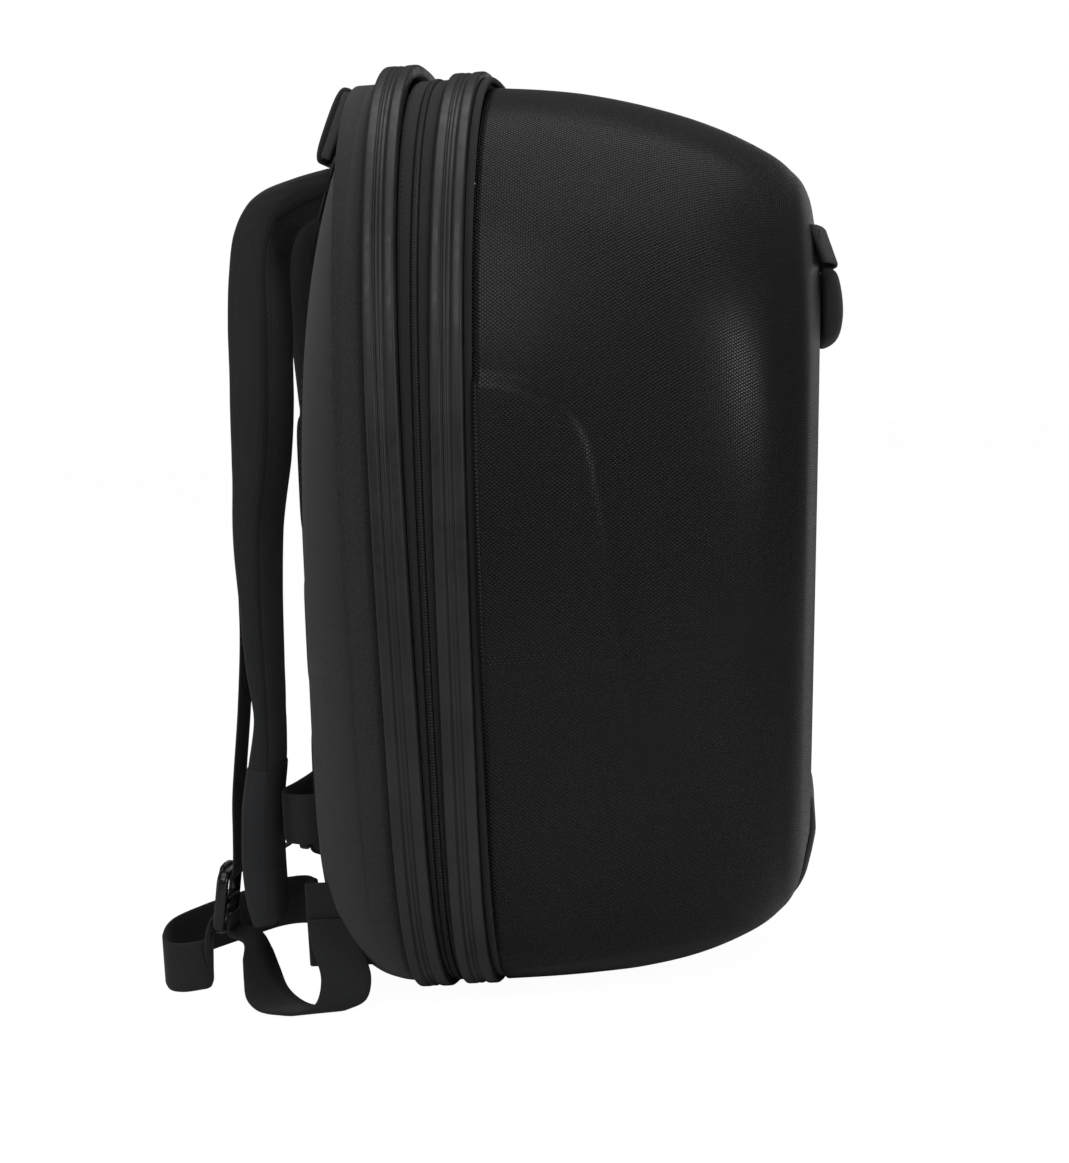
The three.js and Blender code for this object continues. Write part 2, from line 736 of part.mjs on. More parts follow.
const carryWay = carrySpan / 2 - 0.5;
const carryStrap = solid(carryArch(-carryWay, carryWay, webbingThickness, carryWidth, 20));
const carrySlot = solid(carryArch(-carryWay, carryWay, webbingThickness + 2 * gap, carryWidth + 1, 20));
const yokeRoom = plate(roundedRectangle(yokeWidth + 2 * gap, yokeHeight + 2 * gap, yokeCorner), caseWidth)
  .translate(0, 0, yokeMiddle);
const yokeTop = solid(yokeRoom).intersect(grownBase(2 * gap + yokeThickness));
add('carry_strap', geometryOf(carryStrap.subtract(grownBase(gap)).subtract(yokeTop)), webbing);
add('carry_grip', geometryOf(solid(carryArch(-gripLength / 2, gripLength / 2, gripThickness, carryWidth + 6, 10))
  .subtract(carrySlot)), gripFabric);

// Front grab handle: a strap across the shell with a padded grip hanging from it
function frontArch() {
  const half = frontStrapSpan / 2;
  const seat = new THREE.Vector3(0, shellFront(0, frontStrapHeight), frontStrapHeight);
  const out = new THREE.Vector3(0, -1, 0);
  const rise = (x) => (frontStrapRise + 1) * Math.cos(Math.PI * x / frontStrapSpan) ** 0.6 - 1;
  return arch(-half, half, seat, out, turnedUp, rise, frontStrapWidth, webbingThickness, 14);
}

add('front_strap', geometryOf(solid(frontArch()).subtract(grownShell(gap))), webbing);
const gripTop = frontStrapHeight - frontStrapWidth / 2 - gap;
const gripMiddle = gripTop - frontGripHeight / 2;
const frontGrip = plate(roundedRectangle(frontGripLength, frontGripHeight, 12), frontGripThickness, 3)
  .translate(0, shellFront(0, gripMiddle) - gap - frontGripThickness, gripMiddle);
add('front_grip', geometryOf(solid(frontGrip).subtract(grownShell(gap))), gripFabric);

// Front foot: a low rounded bar across the bottom of the shell's front
function frontFoot() {
  const steps = 10;
  const shape = new THREE.Shape();
  shape.moveTo(shellFront(0, footBottom) + footStandOff, footBottom);
  for (let k = 0; k <= steps; k += 1) {
    const z = footBottom + (footTop - footBottom) * k / steps;
    const proud = footStandOff * Math.sin(Math.PI * (0.04 + 0.92 * k / steps)) ** 0.7;
    shape.lineTo(shellFront(0, z) - gap - proud, z);
  }
  shape.lineTo(shellFront(0, footTop) + footStandOff, footTop);
  const geometry = new THREE.ExtrudeGeometry(shape, { depth: footLength, bevelEnabled: false });
  geometry.translate(0, 0, -footLength / 2);
  geometry.applyMatrix4(new THREE.Matrix4().makeBasis(
    new THREE.Vector3(0, 1, 0), new THREE.Vector3(0, 0, 1), new THREE.Vector3(1, 0, 0)));
  return geometryOf(solid(geometry).subtract(grownShell(gap)));
}

add('front_foot', frontFoot(), rimRubber);

// Zip sliders, side by side on the right
function halfWidthAt(section, z) {
  const upper = z >= widestHeight;
  const power = upper ? topRoundness : bottomRoundness;
  const reach = upper ? upperReach * section.top : widestHeight * section.bottom;
  return halfWidth * section.side * (1 - (Math.abs(z - widestHeight) / reach) ** power) ** (1 / power);
}

function slider() {
  const body = new THREE.BoxGeometry(sliderThickness, sliderWidth, sliderLength);
  const pull = new THREE.BoxGeometry(sliderThickness / 2, sliderWidth / 2, 2 * sliderLength)
    .translate(sliderThickness / 4, 0, -sliderLength);
  return geometryOf(solid(body).add(solid(pull)));
}

for (const k of [0, 1]) {
  add(`zip_slider_${k + 1}`, slider(), sliderMetal, (mesh) => {
    const z = sliderHeight + k * sliderSpacing * 2;
    const seat = halfWidthAt(zipSection, z) - (zipRecess - 1) + gap + 0.3;
    mesh.position.set(seat + sliderThickness / 2, chainMiddle(z), z);
  });
}

// The origin is on the floor under the middle of the pack.
const extent = new THREE.Box3().setFromObject(pack);
const centre = extent.getCenter(new THREE.Vector3());
pack.position.set(-centre.x, -centre.y, -extent.min.z);

export default pack;
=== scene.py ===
"""Looks of a hard shell backpack: a moulded front, ribbed rims round a zip, a padded cloth back."""

import math

import bmesh
import bpy
from mathutils import Matrix, Vector


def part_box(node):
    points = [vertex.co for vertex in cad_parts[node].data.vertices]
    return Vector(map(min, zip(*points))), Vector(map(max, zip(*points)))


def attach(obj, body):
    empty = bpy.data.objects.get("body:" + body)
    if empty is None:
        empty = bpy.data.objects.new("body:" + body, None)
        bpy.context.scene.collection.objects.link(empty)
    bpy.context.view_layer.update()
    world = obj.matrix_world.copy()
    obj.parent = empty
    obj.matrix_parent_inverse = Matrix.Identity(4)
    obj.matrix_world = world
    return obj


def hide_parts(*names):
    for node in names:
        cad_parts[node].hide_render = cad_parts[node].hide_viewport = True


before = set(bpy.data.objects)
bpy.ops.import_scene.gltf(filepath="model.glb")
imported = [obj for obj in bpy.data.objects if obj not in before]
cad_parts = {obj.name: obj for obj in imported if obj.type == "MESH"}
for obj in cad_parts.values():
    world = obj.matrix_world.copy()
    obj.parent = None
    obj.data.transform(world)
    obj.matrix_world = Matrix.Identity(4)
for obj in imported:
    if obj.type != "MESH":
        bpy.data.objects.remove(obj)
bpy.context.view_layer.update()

# Lengths are in millimetres from the pack's own origin: y = 0 is the back edge of the rear rim, with the
# moulded front toward -y, and z = 0 is the floor.
MM = 0.001
ORIGIN = Vector((0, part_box("rim_rear")[1].y, -0.000235))
SIDES = (("left", -1), ("right", 1))


def in_frame(point):
    return ORIGIN + Vector(point) * MM


# Camera, at the photograph's angle
PHOTO_HEIGHT = 1163
FOCAL_PIXELS = 2341
CAMERA_AT = (-1254.8, -198.7, 301.8)
CAMERA_AIM = (0, -56.0, 197.3)
CAMERA_ROLL = -3.513
SENSOR = 36


def make_camera():
    data = bpy.data.cameras.new("camera")
    data.sensor_fit = "AUTO"
    data.sensor_width = SENSOR
    data.lens = SENSOR * FOCAL_PIXELS / PHOTO_HEIGHT
    camera = bpy.data.objects.new("camera", data)
    bpy.context.scene.collection.objects.link(camera)
    aim = in_frame(CAMERA_AIM) - in_frame(CAMERA_AT)
    turn = aim.to_track_quat("-Z", "Y").to_matrix().to_4x4()
    roll = Matrix.Rotation(math.radians(CAMERA_ROLL), 4, "Z")
    camera.matrix_world = Matrix.Translation(in_frame(CAMERA_AT)) @ turn @ roll
    bpy.context.scene.camera = camera


make_camera()

# The case
CASE_HEIGHT = 474
HALF_WIDTH = 174
WIDEST = 175
UPPER = CASE_HEIGHT - WIDEST
TOP_ROUNDNESS = 2.6
BOTTOM_ROUNDNESS = 4.6
RIM_DEPTH = 16
RIM_THICKNESS = 6
RIM_SETBACK = 2.5
RIM_DROP = 6
ZIP_GAP = (7, 19)
ZIP_RECESS = 3
CHAIN_WIDTH = 3.4
BINDING_DEPTH = 4
SHELL_DEPTH = 171
SHELL_LEAN = 0.13
BASE_DEPTH = 39.5
BASE_LEAN = 0.27
AIR = 0.3

# depth, side, top and bottom of each section, as shares, and how square it is below the widest line
SHELL_SECTIONS = (
    (0.00, 0.968, 0.950, 0.997, 4.3),
    (0.15, 0.962, 0.940, 0.997, 4.2),
    (0.29, 0.952, 0.926, 0.997, 4.0),
    (0.46, 0.934, 0.900, 0.9965, 3.6),
    (0.64, 0.904, 0.863, 0.976, 3.3),
    (0.80, 0.858, 0.817, 0.920, 3.5),
    (0.90, 0.806, 0.775, 0.855, 4.0),
    (0.965, 0.735, 0.718, 0.772, 4.6),
    (1.00, 0.600, 0.600, 0.640, 4.6),
)
BASE_SECTIONS = (
    (0.00, 0.980, 0.985, 0.985),
    (0.16, 0.974, 0.970, 0.980),
    (0.38, 0.945, 0.925, 0.962),
    (0.60, 0.890, 0.860, 0.925),
    (0.80, 0.820, 0.775, 0.865),
    (0.93, 0.750, 0.690, 0.790),
    (1.00, 0.660, 0.590, 0.680),
)
RIM_SECTION = (0, 1, 1, 1)
FRONT_SECTION = (0, 1 - RIM_SETBACK / HALF_WIDTH, 1 - RIM_DROP / UPPER, 1 - AIR / WIDEST)


def read(rows, at):
    """A table read at a value of its first column, on a smooth curve through its rows."""
    at = min(max(at, rows[0][0]), rows[-1][0])
    k = 0
    while k < len(rows) - 2 and rows[k + 1][0] < at:
        k += 1
    a, b = rows[k], rows[k + 1]
    before, after = rows[max(k - 1, 0)], rows[min(k + 2, len(rows) - 1)]
    span = b[0] - a[0]
    t = (at - a[0]) / span
    found = []
    for column in range(1, len(a)):
        rise_a = span * (b[column] - before[column]) / (b[0] - before[0])
        rise_b = span * (after[column] - a[column]) / (after[0] - a[0])
        found.append(
            (2 * t**3 - 3 * t**2 + 1) * a[column]
            + (t**3 - 2 * t**2 + t) * rise_a
            + (3 * t**2 - 2 * t**3) * b[column]
            + (t**3 - t**2) * rise_b
        )
    return found


def step_up(low, high, value):
    """0 below low, 1 above high, smooth between."""
    t = min(max((value - low) / (high - low), 0), 1)
    return t * t * (3 - 2 * t)


def outline(angle, side, top, bottom, corner=BOTTOM_ROUNDNESS, inset=0.0):
    """A point of a section: one superellipse above the widest line and a squarer one below it."""
    cosine, sine = math.cos(angle), math.sin(angle)
    power = 2 / (TOP_ROUNDNESS if sine >= 0 else corner)
    across = HALF_WIDTH * side - inset
    reach = (UPPER * top if sine >= 0 else WIDEST * bottom) - inset
    x = math.copysign(across * abs(cosine) ** power, cosine)
    return x, WIDEST + math.copysign(reach * abs(sine) ** power, sine)


def lengths_round(count=4000):
    """The outline's length from its start to each of its evenly turned angles."""
    points = [Vector(outline(2 * math.pi * k / count, 1, 1, 1)) for k in range(count + 1)]
    lengths = [0.0]
    for a, b in zip(points, points[1:]):
        lengths.append(lengths[-1] + (b - a).length)
    return lengths


OUTLINE_LENGTHS = lengths_round()
GIRTH = OUTLINE_LENGTHS[-1]


def angle_along(share):
    """The outline's angle at a share of the way round it."""
    target = (share % 1.0) * GIRTH
    low, high = 0, len(OUTLINE_LENGTHS) - 1
    while high - low > 1:
        middle = (low + high) // 2
        if OUTLINE_LENGTHS[middle] <= target:
            low = middle
        else:
            high = middle
    t = (target - OUTLINE_LENGTHS[low]) / (OUTLINE_LENGTHS[high] - OUTLINE_LENGTHS[low])
    return 2 * math.pi * (low + t) / (len(OUTLINE_LENGTHS) - 1)


def zip_gap(z):
    return ZIP_GAP[0] + (ZIP_GAP[1] - ZIP_GAP[0]) * z / CASE_HEIGHT


def shell_start(z):
    return -(2 * RIM_DEPTH + zip_gap(z) + BINDING_DEPTH)


def shell_reach(z):
    return SHELL_DEPTH * (1 - SHELL_LEAN * (1 - z / CASE_HEIGHT))


def base_reach(z):
    return BASE_DEPTH * (1 + BASE_LEAN * (1 - z / CASE_HEIGHT))


def depth_over(sections, x, z):
    """The depth share at which a half's skin passes over a point of its face."""
    low, high = 0.0, 1.0
    for _ in range(22):
        middle = (low + high) / 2
        side, top, bottom, *corner = read(sections, middle)
        upper = z >= WIDEST
        power = TOP_ROUNDNESS if upper else (corner or [BOTTOM_ROUNDNESS])[0]
        reach = UPPER * top if upper else WIDEST * bottom
        if (abs(x) / (HALF_WIDTH * side)) ** power + (abs(z - WIDEST) / reach) ** power <= 1:
            low = middle
        else:
            high = middle
    return low


def base_back(x, z):
    return AIR + depth_over(BASE_SECTIONS, x, z) * base_reach(z)


def shell_front(x, z):
    return shell_start(z) - depth_over(SHELL_SECTIONS, x, z) * shell_reach(z)


# Shader parts. Each material holds its own Principled BSDF, and shared effects are node groups.


class Nodes:
    """Short calls for adding and linking nodes in one tree."""

    def __init__(self, tree):
        self.tree = tree

    def add(self, kind, settings=None, **inputs):
        node = self.tree.nodes.new(kind)
        for name, value in (settings or {}).items():
            setattr(node, name, value)
        for name, value in inputs.items():
            key = int(name[1:]) if name[0] == "i" and name[1:].isdigit() else name.replace("_", " ")
            self.feed(node.inputs[key], value)
        return node

    def feed(self, socket, value):
        if isinstance(value, bpy.types.NodeSocket):
            self.tree.links.new(value, socket)
        elif value is not None:
            socket.default_value = value

    def math(self, operation, a, b=None, c=None, clamp=False):
        node = self.add("ShaderNodeMath", {"operation": operation, "use_clamp": clamp}, i0=a)
        if b is not None:
            self.feed(node.inputs[1], b)
        if c is not None:
            self.feed(node.inputs[2], c)
        return node.outputs[0]

    def ramp(self, value, low, high, start=0.0, end=1.0):
        node = self.add(
            "ShaderNodeMapRange", {"interpolation_type": "SMOOTHSTEP"},
            Value=value, From_Min=low, From_Max=high, To_Min=start, To_Max=end,
        )
        return node.outputs["Result"]

    def mix(self, share, a, b):
        node = self.add("ShaderNodeMix", {"data_type": "RGBA"})
        self.feed(node.inputs[0], share)
        self.feed(node.inputs[6], a)
        self.feed(node.inputs[7], b)
        return node.outputs[2]

    def noise(self, vector, scale, detail=3.0, roughness=0.5):
        node = self.add(
            "ShaderNodeTexNoise", Vector=vector, Scale=scale, Detail=detail, Roughness=roughness
        )
        return node.outputs[0]


def effect(name, inputs, outputs, build):
    """A shader node group with named inputs and outputs: (name, socket type, default)."""
    tree = bpy.data.node_groups.new(name, "ShaderNodeTree")
    for label, kind, default in inputs:
        socket = tree.interface.new_socket(name=label, in_out="INPUT", socket_type=kind)
        if default is not None:
            socket.default_value = default
    for label, kind in outputs:
        tree.interface.new_socket(name=label, in_out="OUTPUT", socket_type=kind)
    n = Nodes(tree)
    source = n.add("NodeGroupInput").outputs
    result = build(n, source)
    end = n.add("NodeGroupOutput")
    for label, value in result.items():
        n.feed(end.inputs[label], value)
    return tree


def waves(n, value, pitch):
    """A cosine of a length, with that pitch."""
    turns = n.math("DIVIDE", value, pitch)
    return n.math("COSINE", n.math("MULTIPLY", turns, 2 * math.pi))


def dot_weave_nodes(n, source):
    """Raised dots in staggered rows, as pressed into the shell's skin."""
    parts = n.add("ShaderNodeSeparateXYZ", Vector=source["Vector"]).outputs
    across = waves(n, parts[0], n.math("MULTIPLY", source["Pitch"], 2.0))
    along = waves(n, parts[1], n.math("MULTIPLY", source["Pitch"], 1.7))
    dots = n.ramp(n.math("MULTIPLY", across, along), -0.25, 0.75)
    faint = n.noise(source["Vector"], 12.0)
    return {"Height": n.math("MULTIPLY", dots, n.ramp(faint, 0.2, 0.6, 0.75, 1.0)), "Dots": dots}


def honeycomb_nodes(n, source):
    """Round holes in a hexagonal net, as in knitted air mesh."""
    parts = n.add("ShaderNodeSeparateXYZ", Vector=source["Vector"]).outputs
    total = waves(n, parts[0], source["Pitch"])
    for sign in (0.866, -0.866):
        lean = n.math("MULTIPLY_ADD", parts[1], sign, n.math("MULTIPLY", parts[0], 0.5))
        total = n.math("ADD", total, waves(n, lean, source["Pitch"]))
    holes = n.ramp(total, 0.2, 1.9)
    return {"Holes": holes, "Height": n.math("SUBTRACT", 1.0, holes)}


def ribbed_weave_nodes(n, source):
    """Tight ribs along a strap with the weft's small steps across them."""
    parts = n.add("ShaderNodeSeparateXYZ", Vector=source["Vector"]).outputs
    ribs = waves(n, parts[0], source["Pitch"])
    shifted = n.math("ADD", parts[1], n.math("MULTIPLY", parts[0], 0.9))
    steps = waves(n, shifted, n.math("MULTIPLY", source["Pitch"], 0.75))
    both = n.math("MULTIPLY_ADD", steps, 0.45, n.math("MULTIPLY", ribs, 0.55))
    return {"Height": n.math("MULTIPLY_ADD", both, 0.5, 0.5)}


def dust_nodes(n, source):
    """Pale specks and faint clouds, more of them where the skin faces up."""
    clouds = n.ramp(n.noise(source["Vector"], 9.0, 5.0), 0.45, 0.8)
    specks = n.ramp(n.noise(source["Vector"], 900.0, 1.0), 0.74, 0.8)
    facing = n.add("ShaderNodeSeparateXYZ", Vector=n.add("ShaderNodeNewGeometry").outputs["Normal"])
    up = n.ramp(facing.outputs[2], -0.2, 0.9, 0.25, 1.0)
    total = n.math("ADD", n.math("MULTIPLY", clouds, 0.35), n.math("MULTIPLY", specks, 0.6))
    return {"Dust": n.math("MULTIPLY", n.math("MULTIPLY", total, up), source["Amount"], clamp=True)}


def cloth_grain_nodes(n, source):
    """Fine yarn grain and the slow change of tone in worn cloth."""
    grain = n.noise(source["Vector"], source["Scale"], 2.0, 0.6)
    patches = n.noise(source["Vector"], 22.0, 4.0, 0.55)
    return {"Grain": grain, "Tone": n.ramp(patches, 0.3, 0.7)}


VECTOR = ("Vector", "NodeSocketVector", None)
PITCH = ("Pitch", "NodeSocketFloat", 2.3)
AMOUNT = ("Amount", "NodeSocketFloat", 0.3)
SCALE = ("Scale", "NodeSocketFloat", 1500.0)


def gives(*labels):
    return [(label, "NodeSocketFloat") for label in labels]


dot_weave = effect("dot_weave", [VECTOR, PITCH], gives("Height", "Dots"), dot_weave_nodes)
honeycomb = effect("honeycomb", [VECTOR, PITCH], gives("Height", "Holes"), honeycomb_nodes)
ribbed_weave = effect("ribbed_weave", [VECTOR, PITCH], gives("Height"), ribbed_weave_nodes)
dust = effect("dust", [VECTOR, AMOUNT], gives("Dust"), dust_nodes)
cloth_grain = effect("cloth_grain", [VECTOR, SCALE], gives("Grain", "Tone"), cloth_grain_nodes)

DUST_GREY = (0.16, 0.16, 0.155, 1)


class Finish:
    """A material being built: its nodes, its Principled BSDF, and where its patterns are read."""

    def __init__(self, name, roughness, sheen=0.0, coat=0.0, metallic=0.0, specular=0.5):
        self.material = bpy.data.materials.new(name)
        self.material.use_nodes = True
        tree = self.material.node_tree
        tree.nodes.clear()
        self.nodes = Nodes(tree)
        self.shader = self.nodes.add("ShaderNodeBsdfPrincipled")
        out = self.nodes.add("ShaderNodeOutputMaterial")
        tree.links.new(self.shader.outputs[0], out.inputs[0])
        for socket, value in (
            ("Roughness", roughness), ("Sheen Weight", sheen), ("Sheen Roughness", 0.5),
            ("Coat Weight", coat), ("Coat Roughness", 0.25), ("Metallic", metallic),
            ("Specular IOR Level", specular),
        ):
            self.shader.inputs[socket].default_value = value
        self.place = self.nodes.add("ShaderNodeTexCoord").outputs["Object"]
        self.cloth_place = self.nodes.add("ShaderNodeUVMap", {"uv_map": "cut"}).outputs[0]

    def group(self, tree, **inputs):
        return self.nodes.add("ShaderNodeGroup", {"node_tree": tree}, **inputs).outputs

    def set(self, socket, value):
        self.nodes.feed(self.shader.inputs[socket], value)

    def bump(self, height, distance, strength=1.0, under=None):
        node = self.nodes.add("ShaderNodeBump", Strength=strength, Distance=distance, Height=height)
        if under is not None:
            self.nodes.feed(node.inputs["Normal"], under)
        return node.outputs[0]

    def dusty(self, colour, amount):
        specks = self.group(dust, Vector=self.place, Amount=amount)["Dust"]
        return self.nodes.mix(specks, colour, DUST_GREY)


def grey(value, blue=1.0):
    return (value, value, value * blue, 1)


def shell_finish():
    f = Finish("moulded_shell", 0.3, specular=0.36)
    n = f.nodes
    plain = n.add("ShaderNodeAttribute", {"attribute_name": "plain"}).outputs["Fac"]
    weave = f.group(dot_weave, Vector=f.cloth_place, Pitch=1.15)
    kept = n.math("SUBTRACT", 1.0, plain)
    height = n.math("MULTIPLY", weave["Height"], kept)
    cloud = n.noise(f.place, 14.0, 4.0)
    tone = n.mix(n.ramp(cloud, 0.3, 0.7), grey(0.0035), grey(0.0055))
    f.set("Base Color", f.dusty(tone, 0.06))
    rough = n.ramp(cloud, 0.3, 0.7, 0.26, 0.32)
    polish = n.math("MULTIPLY", weave["Dots"], n.math("MULTIPLY", kept, 0.08))
    f.set("Roughness", n.math("SUBTRACT", rough, polish))
    pores = n.noise(f.place, 2600.0, 2.0)
    f.set("Normal", f.bump(height, 0.0004, 1.0, f.bump(pores, 0.00002, 0.3)))
    return f.material


def rim_finish():
    f = Finish("rim_plastic", 0.38, specular=0.5)
    n = f.nodes
    cloud = n.noise(f.place, 30.0, 5.0)
    tone = n.mix(n.ramp(cloud, 0.35, 0.7), grey(0.023, 1.05), grey(0.033, 1.05))
    f.set("Base Color", f.dusty(tone, 0.3))
    scuffs = n.noise(f.place, 180.0, 3.0)
    f.set("Roughness", n.ramp(scuffs, 0.3, 0.75, 0.34, 0.52))
    f.set("Normal", f.bump(n.noise(f.place, 1800.0, 2.0), 0.00003, 0.35))
    return f.material


def base_finish():
    f = Finish("base_nylon", 0.9, sheen=0.22)
    n = f.nodes
    cloth = f.group(cloth_grain, Vector=f.place, Scale=1100.0)
    weave = f.group(ribbed_weave, Vector=f.cloth_place, Pitch=0.9)
    tone = n.mix(cloth["Tone"], grey(0.016, 1.05), grey(0.0225, 1.05))
    tone = n.mix(n.ramp(cloth["Grain"], 0.35, 0.75), tone, grey(0.041, 1.04))
    f.set("Base Color", f.dusty(tone, 0.25))
    f.set("Normal", f.bump(weave["Height"], 0.0002, 0.6, f.bump(cloth["Grain"], 0.0003, 0.5)))
    return f.material


def mesh_finish():
    f = Finish("air_mesh", 0.92, sheen=0.18)
    n = f.nodes
    net = f.group(honeycomb, Vector=f.cloth_place, Pitch=2.6)
    cloth = f.group(cloth_grain, Vector=f.place, Scale=1600.0)
    tone = n.mix(cloth["Tone"], (0.0290, 0.0345, 0.0420, 1), (0.0400, 0.0470, 0.0560, 1))
    # The holes are painted near black: painted shade down in the mesh's holes.
    tone = n.mix(net["Holes"], tone, (0.004, 0.005, 0.007, 1))
    f.set("Base Color", f.dusty(tone, 0.12))
    f.set("Normal", f.bump(net["Height"], 0.0006, 0.7, f.bump(cloth["Grain"], 0.0002, 0.4)))
    return f.material


def webbing_finish(name, tone, pitch=1.5, sheen=0.12):
    f = Finish(name, 0.8, sheen=sheen)
    n = f.nodes
    weave = f.group(ribbed_weave, Vector=f.cloth_place, Pitch=pitch)
    cloth = f.group(cloth_grain, Vector=f.place, Scale=2000.0)
    worn = (tone * 0.7, tone * 0.76, tone * 0.86, 1)
    yarn = (tone, tone * 1.06, tone * 1.18, 1)
    # The weave's crests are painted lighter than its grooves: painted light on the crests and painted shade
    # in the grooves.
    lit_crests = (tone * 1.6, tone * 1.7, tone * 1.85, 1)
    colour = n.mix(n.math("MULTIPLY", weave["Height"], 0.5), n.mix(cloth["Tone"], worn, yarn), lit_crests)
    f.set("Base Color", f.dusty(colour, 0.15))
    f.set("Normal", f.bump(weave["Height"], 0.0003, 0.6))
    return f.material


def zip_finish():
    f = Finish("zip_tape", 0.85, sheen=0.1)
    n = f.nodes
    weave = f.group(ribbed_weave, Vector=f.cloth_place, Pitch=1.1)
    # Painted shade: the weave's grooves are painted darker than its ribs.
    colour = n.mix(weave["Height"], grey(0.016), grey(0.034))
    f.set("Base Color", f.dusty(colour, 0.4))
    f.set("Normal", f.bump(weave["Height"], 0.0003, 0.7))
    return f.material


def coil_finish():
    """The zip's coil: small turns across the chain, with a groove down its middle."""
    f = Finish("zip_coil", 0.5)
    n = f.nodes
    parts = n.add("ShaderNodeSeparateXYZ", Vector=f.cloth_place).outputs
    turns = n.math("ABSOLUTE", waves(n, parts[1], 3.0))
    groove = n.ramp(n.math("ABSOLUTE", n.math("SUBTRACT", parts[0], 5.0)), 0.3, 1.2)
    height = n.math("MULTIPLY", turns, groove)
    # Painted shade: the coil is painted darker in its middle groove and between its turns.
    f.set("Base Color", f.dusty(n.mix(height, grey(0.006), grey(0.02)), 0.2))
    f.set("Normal", f.bump(height, 0.0006, 0.9))
    return f.material


def gloss_finish():
    f = Finish("lock_nylon", 0.24, coat=0.2)
    n = f.nodes
    cloud = n.noise(f.place, 120.0, 4.0)
    f.set("Base Color", f.dusty(n.mix(n.ramp(cloud, 0.35, 0.7), grey(0.007), grey(0.012)), 0.1))
    f.set("Roughness", n.ramp(cloud, 0.3, 0.75, 0.2, 0.34))
    f.set("Normal", f.bump(n.noise(f.place, 900.0, 2.0), 0.00004, 0.3))
    return f.material


def metal_finish():
    f = Finish("slider_metal", 0.4, metallic=0.85)
    n = f.nodes
    cloud = n.noise(f.place, 300.0, 4.0)
    f.set("Base Color", n.mix(n.ramp(cloud, 0.3, 0.7), grey(0.03), grey(0.07)))
    f.set("Roughness", n.ramp(cloud, 0.3, 0.75, 0.32, 0.5))
    f.set("Normal", f.bump(cloud, 0.00005, 0.4))
    return f.material


def thread_finish():
    f = Finish("thread", 0.7, sheen=0.1)
    n = f.nodes
    twist = waves(n, n.add("ShaderNodeSeparateXYZ", Vector=f.cloth_place).outputs[0], 0.5)
    # Painted shade: the thread is painted darker in the grooves of its twist.
    f.set("Base Color", n.mix(n.math("MULTIPLY_ADD", twist, 0.5, 0.5), grey(0.012), grey(0.03)))
    f.set("Normal", f.bump(twist, 0.0001, 0.5))
    return f.material


SHELL = shell_finish()
RIM = rim_finish()
NYLON = base_finish()
MESH = mesh_finish()
WEBBING = webbing_finish("strap_webbing", 0.0165)
SLEEVE = webbing_finish("sleeve_cloth", 0.0190, 1.0)
GRIP = webbing_finish("grip_cloth", 0.0190, 1.2)
BINDING = webbing_finish("edge_binding", 0.0140, 1.0)
ZIP = zip_finish()
COIL = coil_finish()
LOCK = gloss_finish()
METAL = metal_finish()
THREAD = thread_finish()


# Meshes


def piece(bm, name, materials, slot, *nodes, smooth=True):
    """A finished mesh as a piece that rides on the pack and stands for its CAD nodes."""
    for vertex in bm.verts:
        vertex.co = in_frame(vertex.co)
    if bm.calc_volume(signed=True) < 0:
        bmesh.ops.reverse_faces(bm, faces=bm.faces[:])
    mesh = bpy.data.meshes.new(name)
    bm.to_mesh(mesh)
    bm.free()
    for look in materials if isinstance(materials, (list, tuple)) else [materials]:
        mesh.materials.append(look)
    mesh.polygons.foreach_set("use_smooth", [smooth] * len(mesh.polygons))
    obj = bpy.data.objects.new(name, mesh)
    bpy.context.scene.collection.objects.link(obj)
    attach(obj, "root")
    if nodes:
        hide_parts(*nodes)
    return obj


def rings(rows, steps, closed):
    """A chain of vertices spun once round the pack's depth, one ring for each row of the profile.
    Each vertex keeps its row and its share of the way round. Rows marked as a pole meet in a point."""
    bm = bmesh.new()
    row_of = bm.verts.layers.int.new("row")
    chain = []
    for k, row in enumerate(rows):
        vertex = bm.verts.new((0.0 if row.get("pole") else 1.0, k, 0.0))
        vertex[row_of] = k
        chain.append(vertex)
    edges = [bm.edges.new(pair) for pair in zip(chain, chain[1:])]
    if closed:
        edges.append(bm.edges.new((chain[-1], chain[0])))
    bmesh.ops.spin(
        bm, geom=chain + edges, cent=(0, 0, 0), axis=(0, -1, 0), angle=2 * math.pi,
        steps=steps, use_merge=True,
    )
    bmesh.ops.remove_doubles(bm, verts=bm.verts[:], dist=1e-5)
    return bm, row_of


def wrap(bm, row_of, rows, shape=None):
    """Moves spun rings onto the case, and lays the cloth's or skin's own measure on every corner."""
    lay = bm.loops.layers.uv.new("cut")
    share_of = {}
    for vertex in bm.verts:
        share = math.atan2(vertex.co.z, vertex.co.x) / (2 * math.pi) % 1.0
        row = rows[vertex[row_of]]
        shrink = 0.0 if row.get("pole") else row.get("shrink", 1.0)
        x, z = outline(angle_along(share), *row["section"], inset=row.get("inset", 0.0))
        x, z = x * shrink, WIDEST + (z - WIDEST) * shrink
        point = Vector((x, row["y"](z), z))
        share_of[vertex] = share
        vertex.co = shape(point, row) if shape else point
    for face in bm.faces:
        shares = [share_of[v] for v in face.verts]
        turn = max(shares) - min(shares) > 0.5
        flat = all(rows[v[row_of]].get("flat") for v in face.verts)
        for loop in face.loops:
            vertex = loop.vert
            share = share_of[vertex] + (1 if turn and share_of[vertex] < 0.5 else 0)
            if flat:
                loop[lay].uv = (vertex.co.x, vertex.co.z)
            else:
                loop[lay].uv = (rows[vertex[row_of]]["along"], share * GIRTH)
    bmesh.ops.recalc_face_normals(bm, faces=bm.faces[:])


